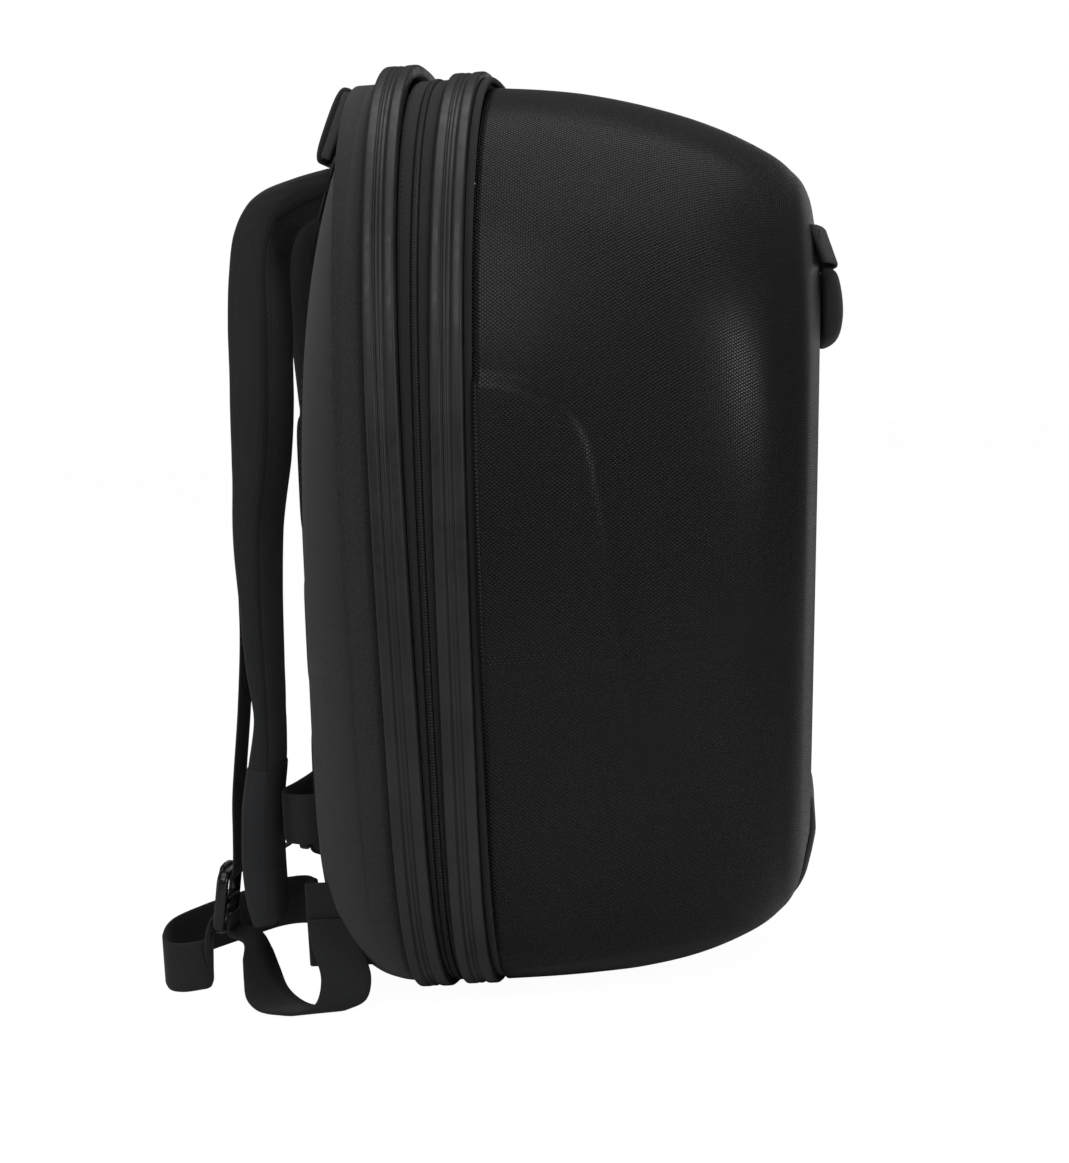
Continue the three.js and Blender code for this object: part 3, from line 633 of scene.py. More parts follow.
# Rows along a half's depth, rows over its flat face, steps round it, and how its mouth turns in
SHELL_ROWS, BASE_ROWS, FACE_ROWS = 96, 26, 12
SHELL_STEPS, BASE_STEPS, RIM_STEPS = 520, 240, 260
SHELL_LIP, SHELL_TURN = 3.0, 20.0
BASE_LIP, BASE_TURN = 4.0, 16.0


def skin_rows(sections, start, reach, toward, steps):
    """Rows of a half's outer skin, from its mouth to the middle of its flat face."""
    rows, along, last = [], 0.0, None
    for k in range(steps + 1):
        share = math.sin(math.pi / 2 * (k / steps)) ** 0.9
        section = (0, *read(sections, share))
        y = toward * share * reach(WIDEST)
        x = HALF_WIDTH * section[1]
        if last is not None:
            along += math.hypot(x - last[0], y - last[1])
        last = (x, y)
        rows.append({
            "section": section[1:], "along": along, "depth": share,
            "y": lambda z, share=share: start(z) + toward * share * reach(z),
        })
    for k in range(1, FACE_ROWS + 1):
        shrink = 1 - k / FACE_ROWS
        rows.append({
            "section": rows[steps]["section"], "shrink": max(shrink, 0.0), "pole": k == FACE_ROWS,
            "along": along, "depth": 1.0, "flat": True, "y": rows[steps]["y"],
        })
    rows[steps]["flat"] = True
    return rows


# Height and depth along the arched edge of the side panel
PANEL_LINE = (
    (90, -120), (120, -119), (159, -116), (174, -115), (217, -110), (250, -106),
    (266, -104), (279, -101), (289, -95), (297, -86), (303, -74), (307, -58), (308, -40),
)
PANEL_DEPTH = 1.8
PANEL_EASE = 2.6
# heights between which the panel rises out of the shell, and how far from the middle it starts
PANEL_RISE = (95, 200)
PANEL_FROM = 100
# depth in front of the rear rim's edge, and the height up to which the skin has no weave there
CREASE = ((36, 17), (91, 23), (141, 26), (170, 30), (190, 37))
CREASE_EASE = (4, 1)

PANEL_EDGE = tuple(
    Vector(reversed(read([(k, *row) for k, row in enumerate(PANEL_LINE)], k / 4)))
    for k in range(4 * len(PANEL_LINE) - 3)
)


def panel_press(y, z):
    """How far the side panel is raised at a point: 0 outside its arched edge, 1 well inside."""
    point, nearest, side = Vector((y, z)), 1e9, 1
    for a, b in zip(PANEL_EDGE, PANEL_EDGE[1:]):
        way = b - a
        t = min(max((point - a).dot(way) / way.length_squared, 0), 1)
        off = point - a - way * t
        if off.length < nearest:
            nearest = off.length
            side = 1 if way.x * (point - a).y - way.y * (point - a).x < 0 else -1
    return step_up(-PANEL_EASE, PANEL_EASE, side * nearest) * step_up(*PANEL_RISE, z)


def shell_shape(point, row):
    """Raises the arched side panels on the shell."""
    x, y, z = point
    if row["depth"] < 1 and abs(x) > PANEL_FROM:
        point.x += math.copysign(PANEL_DEPTH * panel_press(y, z), x)
    return point


def make_shell():
    """The moulded front: its skin, and a lip that turns in behind the binding."""
    rows = skin_rows(SHELL_SECTIONS, shell_start, shell_reach, -1, SHELL_ROWS)
    lip = dict(rows[0], inset=SHELL_LIP, along=-SHELL_LIP)
    inner = dict(rows[0], inset=SHELL_LIP, along=-SHELL_TURN, y=lambda z: shell_start(z) - SHELL_TURN)
    rows = [inner, lip] + rows
    bm, row_of = rings(rows, SHELL_STEPS, closed=False)
    plain_of = bm.verts.layers.float.new("plain")
    wrap(bm, row_of, rows, shell_shape)
    for vertex in bm.verts:
        crease = read(CREASE, -vertex.co.y)[0]
        below, above = CREASE_EASE
        vertex[plain_of] = 1 - step_up(crease - below, crease + above, vertex.co.z)
    return piece(bm, "shell_skin", SHELL, "shell_plastic", "front_shell")


def make_base():
    """The cloth half: its cover, and a lip that turns in behind the rear rim."""
    rows = skin_rows(BASE_SECTIONS, lambda z: AIR, base_reach, 1, BASE_ROWS)
    lip = dict(rows[0], inset=BASE_LIP, along=-BASE_LIP)
    inner = dict(rows[0], inset=BASE_LIP, along=-BASE_TURN - 2, y=lambda z: AIR + BASE_TURN)
    rows = [inner, lip] + rows
    bm, row_of = rings(rows, BASE_STEPS, closed=False)
    wrap(bm, row_of, rows)
    return piece(bm, "base_cover", NYLON, "base_fabric", "base_shell")


# Ribs of a rim: place across its depth and how far the skin lies below the ribs' tops
RIBS = (
    (0.000, 1.5), (0.020, 0.55), (0.050, 0.08), (0.100, 0.0), (0.230, 0.0), (0.300, 0.10), (0.330, 0.5),
    (0.345, 1.05), (0.385, 1.1), (0.400, 0.45), (0.420, 0.22), (0.450, 0.18), (0.480, 0.3), (0.500, 0.6),
    (0.520, 1.25), (0.590, 1.35), (0.640, 1.2), (0.660, 0.5), (0.685, 0.12), (0.740, 0.0), (0.880, 0.0),
    (0.945, 0.08), (0.980, 0.5), (1.000, 1.5),
)


def rim_rows(section, front):
    """Rows of a rim: its ribbed skin over the section, then its inside. front(z) is its front edge."""
    rows, along = [], 0.0
    for place, drop in RIBS:
        rows.append({
            "section": section[1:], "inset": drop, "along": along + place * RIM_DEPTH,
            "y": lambda z, place=place: front(z) + RIM_DEPTH * (1 - place),
        })
    for place, inset in ((1.0, 3.5), (1.0, RIM_THICKNESS), (0.0, RIM_THICKNESS), (0.0, 3.5)):
        rows.append({
            "section": section[1:], "inset": inset, "along": RIM_DEPTH + inset,
            "y": lambda z, place=place: front(z) + RIM_DEPTH * (1 - place),
        })
    return rows


def make_ring(rows, name, look, slot, node):
    bm, row_of = rings(rows, RIM_STEPS, closed=True)
    wrap(bm, row_of, rows)
    return piece(bm, name, look, slot, node)


def band_rows(section, top, thickness, rear, front, crown=0.3, count=6):
    """A flat ring between two places in depth, slightly crowned, with its underside."""
    rows = []
    for k in range(count + 1):
        t = k / count
        drop = top + crown * (2 * t - 1) ** 2
        rows.append({
            "section": section[1:], "inset": drop, "along": t * 10,
            "y": lambda z, t=t: rear(z) + (front(z) - rear(z)) * t,
        })
    for t in (1, 0):
        rows.append({
            "section": section[1:], "inset": top + thickness, "along": 12,
            "y": lambda z, t=t: rear(z) + (front(z) - rear(z)) * t,
        })
    return rows


def chain_middle(z):
    return -RIM_DEPTH - zip_gap(z) / 2


def rim_rear_of_front(z):
    return -RIM_DEPTH - zip_gap(z)


def rim_front(z):
    return rim_rear_of_front(z) - RIM_DEPTH


def make_rims_and_zip():
    rear_rows = rim_rows(RIM_SECTION, lambda z: -RIM_DEPTH + AIR)
    make_ring(rear_rows, "rim_back", RIM, "rim_plastic", "rim_rear")
    front_rows = rim_rows(FRONT_SECTION, lambda z: rim_front(z) + AIR)
    make_ring(front_rows, "rim_fore", RIM, "rim_plastic", "rim_front")
    half = CHAIN_WIDTH / 2
    make_ring(
        band_rows(FRONT_SECTION, ZIP_RECESS, 2, lambda z: -RIM_DEPTH,
                  lambda z: chain_middle(z) + half + AIR),
        "tape_back", ZIP, "zip_fabric", "zip_tape_rear",
    )
    make_ring(
        band_rows(FRONT_SECTION, ZIP_RECESS, 2, lambda z: chain_middle(z) - half - AIR,
                  lambda z: rim_rear_of_front(z) + 2 * AIR),
        "tape_fore", ZIP, "zip_fabric", "zip_tape_front",
    )
    make_ring(
        band_rows(FRONT_SECTION, ZIP_RECESS - 1, 2.6, lambda z: chain_middle(z) + half,
                  lambda z: chain_middle(z) - half, crown=0.8),
        "zip_coil", COIL, "zip_fabric", "zip_chain",
    )
    make_ring(
        band_rows(FRONT_SECTION, 3.0, 3, rim_front, lambda z: shell_start(z) + AIR, crown=0.8),
        "shell_edge_binding", BINDING, "zip_fabric", "shell_binding",
    )


make_shell()
make_base()
make_rims_and_zip()


# Soft pieces. A path is a smooth line through a table's rows, and a swept form carries a ring of
# points along it.


def spline(points, count):
    """Evenly spread points on a smooth (centripetal) line through the given ones, with their shares."""
    points = [Vector(p) for p in points]
    ends = [2 * points[0] - points[1], *points, 2 * points[-1] - points[-2]]
    fine = []
    for k in range(len(points) - 1):
        p = ends[k:k + 4]
        t = [0.0]
        for a, b in zip(p, p[1:]):
            t.append(t[-1] + max((b - a).length, 1e-6) ** 0.5)
        for step in range(24):
            at = t[1] + (t[2] - t[1]) * step / 24
            a = [p[i] * ((t[i + 1] - at) / (t[i + 1] - t[i])) + p[i + 1] * ((at - t[i]) / (t[i + 1] - t[i]))
                 for i in range(3)]
            b = [a[i] * ((t[i + 2] - at) / (t[i + 2] - t[i])) + a[i + 1] * ((at - t[i]) / (t[i + 2] - t[i]))
                 for i in range(2)]
            point = b[0] * ((t[2] - at) / (t[2] - t[1])) + b[1] * ((at - t[1]) / (t[2] - t[1]))
            fine.append((point, (k + step / 24) / (len(points) - 1)))
    fine.append((points[-1], 1.0))
    lengths = [0.0]
    for (a, _), (b, _) in zip(fine, fine[1:]):
        lengths.append(lengths[-1] + (b - a).length)
    found, at = [], 0
    for k in range(count):
        target = lengths[-1] * k / (count - 1)
        while at < len(fine) - 2 and lengths[at + 1] < target:
            at += 1
        span = max(lengths[at + 1] - lengths[at], 1e-9)
        t = min(max((target - lengths[at]) / span, 0), 1)
        a, b = fine[at], fine[at + 1]
        found.append((a[0].lerp(b[0], t), a[1] + (b[1] - a[1]) * t, target))
    return found


def tangents(line):
    points = [p for p, _, _ in line]
    return [
        (points[min(k + 1, len(points) - 1)] - points[max(k - 1, 0)]).normalized()
        for k in range(len(points))
    ]


def swept(stations, ring, hold=0.4):
    """A ring of (across, out) shares carried along stations of (middle, across, out, width, thickness,
    length so far), closed at both ends. Its cloth measure is across and along, in millimetres."""
    bm = bmesh.new()
    lay = bm.loops.layers.uv.new("cut")
    held_of = bm.verts.layers.int.new("held")
    across_of = bm.verts.layers.float.new("across")
    where = {}

    def lay_out(vertices, station):
        middle, across, out, width, thickness, along = station
        for vertex, (a, b) in zip(vertices, ring):
            vertex.co = middle + across * (a * width) + out * (b * thickness)
            where[vertex] = (a * width, b * thickness, along)
            vertex[held_of] = int(abs(a) >= hold or station in (stations[0], stations[-1]))
            vertex[across_of] = abs(a)

    first = [bm.verts.new((a, b, 0)) for a, b in ring]
    edges = [bm.edges.new((first[k - 1], first[k])) for k in range(len(first))]
    lay_out(first, stations[0])
    starts, vertices = list(first), first
    for station in stations[1:]:
        made = bmesh.ops.extrude_edge_only(bm, edges=edges)["geom"]
        new = {v for v in made if isinstance(v, bmesh.types.BMVert)}
        follow = []
        for vertex in vertices:
            beside = (e.other_vert(vertex) for e in vertex.link_edges)
            follow.append(next(v for v in beside if v in new))
        edges = [e for e in made if isinstance(e, bmesh.types.BMEdge) and all(v in new for v in e.verts)]
        vertices = follow
        lay_out(vertices, station)
    bmesh.ops.contextual_create(bm, geom=starts)
    bmesh.ops.contextual_create(bm, geom=vertices)
    bmesh.ops.recalc_face_normals(bm, faces=bm.faces[:])
    for face in bm.faces:
        for loop in face.loops:
            a, b, along = where[loop.vert]
            loop[lay].uv = (a, along) if len(face.verts) == 4 else (a, b)
    return bm


def oval(count, power):
    """A ring from round (power 2) to nearly square (power 8), within half a unit each way."""
    ring = []
    for k in range(count):
        angle = 2 * math.pi * k / count
        way = (math.cos(angle), math.sin(angle))
        ring.append(tuple(math.copysign(0.5 * abs(part) ** (2 / power), part) for part in way))
    return ring


def flat_ring(count=9, round_share=0.05):
    """The section of a flat strap: a thin box with eased edges."""
    top = [(-0.5 + round_share + (1 - 2 * round_share) * k / (count - 1), 0.5) for k in range(count)]
    return [(-0.5, -0.2), (-0.5, 0.2), *top, (0.5, 0.2), (0.5, -0.2), *[(a, -b) for a, b in reversed(top)]]


PAD_ACROSS = (
    (0.00, 0.500), (0.50, 0.498), (0.70, 0.488), (0.78, 0.465), (0.82, 0.425), (0.845, 0.445),
    (0.89, 0.42), (0.94, 0.36), (0.975, 0.26), (1.00, 0.0),
)


def pad_ring(count=15):
    """The section of a foam strap: crowned, with a sewn dip before its bound edge."""
    half = []
    for k in range(count):
        share = math.sin(math.pi / 2 * k / (count - 1)) ** 0.85
        half.append((0.5 * share, read(PAD_ACROSS, share)[0]))
    upper = [(-a, b) for a, b in reversed(half)] + half[1:]
    return upper + [(a, -b) for a, b in reversed(upper[1:-1])]


ACROSS_X = Vector((1, 0, 0))

# Shoulder straps: height, stand-off from the case, place across, width and thickness, as shares
STRAP_TOP = CASE_HEIGHT - 62
STRAP_REACH = 82
STRAP_SPREAD = 105
STRAP_WIDTH = 68
STRAP_THICKNESS = 13
STRAP_ROWS = (
    (1.000, 0.280, 0.530, 0.88, 1.10),
    (0.986, 0.520, 0.540, 0.90, 1.35),
    (0.966, 0.726, 0.560, 0.93, 1.60),
    (0.935, 0.805, 0.590, 0.96, 1.69),
    (0.890, 0.832, 0.630, 0.99, 1.73),
    (0.820, 0.832, 0.700, 1.00, 1.81),
    (0.740, 0.829, 0.780, 1.00, 1.77),
    (0.660, 0.842, 0.840, 0.98, 1.62),
    (0.580, 0.878, 0.890, 0.93, 1.25),
    (0.500, 0.880, 0.930, 0.86, 1.03),
    (0.420, 0.873, 0.965, 0.78, 0.86),
    (0.355, 0.860, 0.985, 0.72, 0.63),
    (0.300, 0.888, 1.000, 0.70, 0.96),
    (0.245, 0.934, 1.000, 0.70, 1.09),
    (0.185, 0.956, 1.000, 0.70, 1.08),
    (0.130, 0.951, 1.000, 0.69, 0.96),
    (0.100, 0.936, 1.000, 0.64, 0.80),
)
SLEEVE_TOP = 122
STRAP_BOTTOM = 41
STRAP_POINTS = 320
# how far the foam strap's end tucks into its sleeve, and how much wider and thicker the sleeve is
TUCK = 5
SLEEVE_EASE = (1.02, 1.1)
# share across a foam strap beyond which its edge is bound
BOUND_FROM = 0.43


def column(rows, index, share):
    place = share * (len(rows) - 1)
    k = min(int(place), len(rows) - 2)
    return rows[k][index] + (rows[k + 1][index] - rows[k][index]) * (place - k)


def strap_line(side, count):
    places = [(side * r[2] * STRAP_SPREAD, r[1] * STRAP_REACH, r[0] * STRAP_TOP) for r in STRAP_ROWS]
    return spline(places, count)


def strap_stations(side, top, bottom, count, unevenness):
    """Stations of the strap's own line between two heights, with its filling a little uneven."""
    line = strap_line(side, STRAP_POINTS)
    ways = tangents(line)
    kept = [k for k, (p, _, _) in enumerate(line) if bottom <= p.z <= top]
    picked = [kept[round(i * (len(kept) - 1) / (count - 1))] for i in range(count)]
    stations = []
    for k in picked:
        middle, share, along = line[k]
        out = ways[k].cross(ACROSS_X).normalized()
        puff = 1 + unevenness * math.sin(along / 13) * math.sin(along / 31 + side)
        stations.append((middle, ACROSS_X, out, column(STRAP_ROWS, 3, share) * STRAP_WIDTH,
                         column(STRAP_ROWS, 4, share) * STRAP_THICKNESS * puff, along))
    return stations


def strap_face(side, height, lift):
    """A point over the strap's outer face at a height, lifted off it."""
    line = strap_line(side, STRAP_POINTS)
    middle, share, _ = min(line, key=lambda row: abs(row[0].z - height))
    return Vector((middle.x, middle.y + column(STRAP_ROWS, 4, share) * STRAP_THICKNESS / 2 + lift, height))


def swell(obj, pressure, cap, frames=20):
    """Cloth simulation of a padded piece: its free skin swells between the seams that are held."""
    scene = bpy.context.scene
    marks = obj.data.attributes["held"].data
    group = obj.vertex_groups.new(name="held")
    group.add([k for k, mark in enumerate(marks) if mark.value], 1.0, "REPLACE")
    cloth = obj.modifiers.new("filling", "CLOTH")
    cloth.point_cache.frame_start, cloth.point_cache.frame_end = 1, frames
    cloth.collision_settings.use_collision = False
    cloth.collision_settings.use_self_collision = False
    settings = cloth.settings
    settings.vertex_group_mass = "held"
    settings.use_pressure = True
    settings.uniform_pressure_force = pressure
    settings.effector_weights.gravity = 0
    for frame_number in range(1, frames + 1):
        scene.frame_set(frame_number)
    swollen = bpy.data.meshes.new_from_object(obj.evaluated_get(bpy.context.evaluated_depsgraph_get()))
    for vertex, moved in zip(obj.data.vertices, swollen.vertices):
        move = moved.co - vertex.co
        if move.length > cap * MM:
            move *= cap * MM / move.length
        vertex.co += move
    obj.modifiers.remove(cloth)
    obj.vertex_groups.remove(group)
    bpy.data.meshes.remove(swollen)
    scene.frame_set(1)
    return soften(obj)


def soften(obj, levels=1):
    """One level of subdivision, kept the same in the view and the render."""
    modifier = obj.modifiers.new("soften", "SUBSURF")
    modifier.levels = modifier.render_levels = levels
    return obj


def make_straps():
    for hand, side in SIDES:
        stations = strap_stations(side, STRAP_TOP, SLEEVE_TOP - TUCK, 110, 0.03)
        bm = swept(stations, pad_ring())
        across_of = bm.verts.layers.float["across"]
        for face in bm.faces:
            if len(face.verts) == 4 and sum(v[across_of] for v in face.verts) / 4 > BOUND_FROM:
                face.material_index = 1
        strap = piece(bm, f"foam_strap_{hand}", [MESH, BINDING], "air_mesh", f"shoulder_strap_{hand}")
        swell(strap, 4, 1.6)
        wider, thicker = SLEEVE_EASE
        stations = [
            (middle, across, out, width * wider, thickness * thicker, along) for middle, across, out, width,
            thickness, along in strap_stations(side, SLEEVE_TOP, STRAP_BOTTOM, 50, 0.05)
        ]
        bm = swept(stations, pad_ring(11))
        sleeve = piece(bm, f"sleeve_{hand}", SLEEVE, "sleeve_fabric", f"strap_sleeve_{hand}")
        swell(sleeve, 4, 1.2)


# Webbing, locks and belt
WEBBING_WIDTH = 25
WEBBING_THICKNESS = 1.8
LOCK_WIDTH = 33
LOCK_HEIGHT = 32
LOCK_THICKNESS = 6
LOCK_BAR = 4
LOCK_STAND_OFF = 17
LOCK_TEETH = 9
TOOTH_PITCH = 2.4
LOCK_MIDDLE = Vector((STRAP_SPREAD, STRAP_REACH + LOCK_STAND_OFF, 53))
LOCK_TILT = 0.16
# height on the strap, and how far the tape is lifted off its face
WEBBING_LIFTS = ((206, 0.4), (186, 1.6), (151, 7.5), (105, 5.2), (88, 4.2))
TAB_SIDE = 130
TAB_REACH = 53
TAB_WIDTH = 36
TAB_HEIGHT = 42
TAB_THICKNESS = 3
TAB_MIDDLE = 43
BELT_HEIGHT = 95
BELT_REACH = 62
BUCKLE_WIDTH = 62
BUCKLE_HEIGHT = 32
BUCKLE_THICKNESS = 8.4
UP = Vector((0, 0, 1))
FORWARD = Vector((0, -1, 0))


def on_lock(z, way):
    """Where webbing lies on the lock's rear (-1) or outer (+1) face, with how its width lies."""
    reach = LOCK_THICKNESS / 2 + WEBBING_THICKNESS / 2 + 2 * AIR
    return (LOCK_MIDDLE.x, LOCK_MIDDLE.y + way * reach - math.tan(LOCK_TILT) * (z - LOCK_MIDDLE.z), z, 0)


ON_TAB = TAB_SIDE + TAB_THICKNESS / 2 + WEBBING_THICKNESS / 2 + 2 * AIR
# Webbing routes: x away from the middle, y, z, and how its width lies from 0 (across the back) to 1
ADJUSTER_ROWS = (
    (ON_TAB, 40, 46, 1),
    (ON_TAB + 0.6, 38, 32, 1),
    (137, 34, 17, 0.95),
    (140, 37, 6, 0.85),
    (142, 47, 2.2, 0.8),
    (139, 58, 2.2, 0.7),
    (131, 69, 2.6, 0.6),
    (121, 78, 7, 0.5),
    (113, 82, 15, 0.4),
    (109, 84.5, 24, 0.3),
    (106.5, 87, 32, 0.12),
    on_lock(LOCK_MIDDLE.z - 0.5 * LOCK_HEIGHT, -1),
    on_lock(LOCK_MIDDLE.z - LOCK_HEIGHT / 4, -1),
)
TAIL_ROWS = {
    "left": (
        on_lock(LOCK_MIDDLE.z - LOCK_HEIGHT / 4, 1),
        (107.5, 107.5, 39, 0.12),
        (109, 108.5, 33, 0.42),
        (112, 107.5, 25.5, 0.85),
        (115.5, 108.5, 22, 1),
        (117, 114, 21, 1),
        (116, 123, 20, 1),
        (112.5, 130, 20.5, 1),
        (104, 134, 23, 1),
        (91, 132.5, 27, 1),
        (79, 120, 31, 1),
        (71, 100, 36, 1),
        (72, 80, 42, 1),
        (84, 63, 46, 1),
        (98, 54, 47, 1),
    ),
    "right": (
        on_lock(LOCK_MIDDLE.z, 1),
        on_lock(LOCK_MIDDLE.z - LOCK_HEIGHT / 4, 1),
        (106, 110, 41, 0),
        (107, 119, 35, 0),
        (108, 122, 22, 0),
        (109, 125, 10, 0),
        (110, 130, 2.6, 0),
        (110, 134, 1.6, 0),
    ),
}
BELT_ROWS = (
    (121, 38, BELT_HEIGHT, 1),
    (125, 52, BELT_HEIGHT, 1),
    (119, 61.5, BELT_HEIGHT, 1),
    (106, BELT_REACH + 4, BELT_HEIGHT, 1),
    (86, BELT_REACH + 2, BELT_HEIGHT, 1),
    (60, BELT_REACH, BELT_HEIGHT, 1),
    (BUCKLE_WIDTH / 2 + AIR, BELT_REACH, BELT_HEIGHT, 1),
)


def webbing_stations(rows, side, turned, count):
    """Stations of webbing along its route. turned: the way its width lies where a row says 1."""
    line = spline([(side * r[0], r[1], r[2]) for r in rows], count)
    ways = tangents(line)
    stations = []
    for (middle, share, along), way in zip(line, ways):
        face = column(rows, 3, share)
        flat = 1 - face + face * turned.x * side
        across = Vector((flat, face * turned.y, face * turned.z)).normalized()
        out = way.cross(across).normalized()
        stations.append((middle, across, out, WEBBING_WIDTH, WEBBING_THICKNESS, along))
    return stations


def make_webbing():
    for hand, side in SIDES:
        rows = []
        for height, lift in WEBBING_LIFTS:
            point = strap_face(side, height, AIR + WEBBING_THICKNESS / 2 + lift)
            rows.append((abs(point.x), point.y, point.z, 0))
        rows.append(on_lock(LOCK_MIDDLE.z + LOCK_HEIGHT / 2 + LOCK_BAR, -1))
        rows.append(on_lock(LOCK_MIDDLE.z + LOCK_HEIGHT / 2 - LOCK_BAR, -1))
        routes = (
            ("strap_tape", rows, ACROSS_X, 70, "strap_webbing"),
            ("adjuster_tape", ADJUSTER_ROWS, FORWARD, 110, "adjuster_webbing"),
            ("tail_tape", TAIL_ROWS[hand], UP, 110, "adjuster_tail"),
            ("belt_tape", BELT_ROWS, UP, 70, "waist_belt"),
        )
        for name, route, turned, count, node in routes:
            bm = swept(webbing_stations(route, side, turned, count), flat_ring())
            piece(bm, f"{name}_{hand}", WEBBING, "webbing", f"{node}_{hand}")
        make_tab(hand, side)
        make_lock(hand, side)


def make_tab(hand, side):
    """A folded webbing tab sewn to the base's lower edge."""
    bm = bmesh.new()
    bmesh.ops.create_cube(bm, size=1)
    bmesh.ops.scale(bm, verts=bm.verts[:], vec=(TAB_THICKNESS, TAB_WIDTH, TAB_HEIGHT))
    bmesh.ops.bevel(bm, geom=bm.edges[:], offset=1.0, affect="EDGES", segments=2, profile=0.5, material=-1)
    place = (side * TAB_SIDE, TAB_REACH - TAB_WIDTH / 2, TAB_MIDDLE)
    bmesh.ops.translate(bm, verts=bm.verts[:], vec=place)
    lay_by(bm, lambda co: (co.z, co.y))
    piece(bm, f"sewn_tab_{hand}", GRIP, "grip_fabric", f"anchor_tab_{hand}", smooth=False)


def lay_by(bm, measure):
    """Lays a piece's cloth measure from each corner's place."""
    lay = bm.loops.layers.uv.get("cut") or bm.loops.layers.uv.new("cut")
    for face in bm.faces:
        for loop in face.loops:
            loop[lay].uv = measure(loop.vert.co)


def bar(bm, points, ring, width, thickness, across, closed=False):
    """A swept bar added to a mesh that is being made."""
    line = [(Vector(p), 0, k) for k, p in enumerate(points)]
    ways = tangents(line)
    if closed:
        count = len(points) - 1
        ways = [
            (line[(k + 1) % count][0] - line[(k - 1) % count][0]).normalized() for k in range(count + 1)
        ]
    stations = [
        (p, across, way.cross(across).normalized(), width, thickness, along)
        for (p, _, along), way in zip(line, ways)
    ]
    part = swept(stations, ring)
    mesh = bpy.data.meshes.new("part")
    part.to_mesh(mesh)
    part.free()
    bm.from_mesh(mesh)
    bpy.data.meshes.remove(mesh)


def make_lock(hand, side):
    """Ladder lock: a rounded frame round two slots, with a toothed middle bar and a thumb lip."""
    bm = bmesh.new()
    w, h, r = LOCK_WIDTH / 2 - LOCK_BAR / 2, LOCK_HEIGHT / 2 - LOCK_BAR / 2, 4
    corners = []
    turns = ((w - r, h - r, 0), (-w + r, h - r, 90), (-w + r, -h + r, 180), (w - r, -h + r, 270))
    for cx, cz, start in turns:
        for k in range(6):
            angle = math.radians(start + 90 * k / 5)
            corners.append((cx + r * math.cos(angle), 0, cz + r * math.sin(angle)))
    corners.append(corners[0])
    out = Vector((0, 1, 0))
    bar(bm, corners, oval(14, 3.2), LOCK_THICKNESS, LOCK_BAR, out, closed=True)
    middle_bar = [(share * w, 0, 0) for share in (-1, -0.5, 0, 0.5, 1)]
    bar(bm, middle_bar, oval(14, 3.0), LOCK_THICKNESS, LOCK_BAR, out)
    for k in range(LOCK_TEETH):
        x = (k - (LOCK_TEETH - 1) / 2) * TOOTH_PITCH
        tooth = [(x - 0.6, 2.4, 0), (x, 3.0, 0), (x + 0.6, 2.4, 0)]
        bar(bm, tooth, oval(8, 3.0), 1.2, 3.0, out)
    lip = [(-w + 3, 1.5, h + 1), (-w / 2, 2.2, h + 2), (0, 2.4, h + 2.4), (w / 2, 2.2, h + 2),
           (w - 3, 1.5, h + 1)]
    bar(bm, lip, oval(12, 2.4), 3, 3.4, out)
    bmesh.ops.rotate(bm, verts=bm.verts[:], cent=(0, 0, 0), matrix=Matrix.Rotation(LOCK_TILT, 3, "X"))
    bmesh.ops.translate(bm, verts=bm.verts[:], vec=(side * LOCK_MIDDLE.x, LOCK_MIDDLE.y, LOCK_MIDDLE.z))
    piece(bm, f"ladder_lock_{hand}_moulding", LOCK, "lock_plastic", f"ladder_lock_{hand}")


def eased_box(bm, size, at, ease, segments=3):
    """A box with rounded edges, added to a mesh that is being made."""
    made = bmesh.ops.create_cube(bm, size=1)["verts"]
    bmesh.ops.scale(bm, verts=made, vec=size)
    edges = list({e for v in made for e in v.link_edges})
    result = bmesh.ops.bevel(
        bm, geom=edges, offset=ease, affect="EDGES", segments=segments, profile=0.5, material=-1
    )
    kept = set(result["verts"]) | {v for v in made if v.is_valid}
    bmesh.ops.translate(bm, verts=list(kept), vec=at)


def make_buckle():
    """Side-release buckle: a socket with windows at its sides, and a tongue whose arms fill them."""
    bm = bmesh.new()
    w, h, t = BUCKLE_WIDTH, BUCKLE_HEIGHT, BUCKLE_THICKNESS
    socket = w * 0.62
    left = -w / 2 + socket / 2
    for z in (-h / 2 + 3, h / 2 - 3):
        eased_box(bm, (socket * 0.34, t, 6), (-w / 2 + socket * 0.17, 0, z), 1.4)
    eased_box(bm, (socket, t, h - 13), (left, 0, 0), 1.8)
    eased_box(bm, (socket * 0.22, t, h), (-w / 2 + socket * 0.89, 0, 0), 1.8)
    for z in (-h / 2 + 2.6, h / 2 - 2.6):
        eased_box(bm, (socket * 0.42, t * 0.7, 4.6), (-w / 2 + socket * 0.55, 0, z), 1.2)
    eased_box(bm, (w - socket - 1.2, t, h - 2), (w / 2 - (w - socket - 1.2) / 2, 0, 0), 1.8)
    eased_box(bm, (socket * 0.62, 0.7, h * 0.3), (left, t / 2, 0), 0.3, 1)
    bmesh.ops.translate(bm, verts=bm.verts[:], vec=(0, BELT_REACH, BELT_HEIGHT))
    lay_by(bm, lambda co: (co.x, co.z))
    piece(bm, "buckle_moulding", LOCK, "lock_plastic", "belt_buckle")


# Padded back


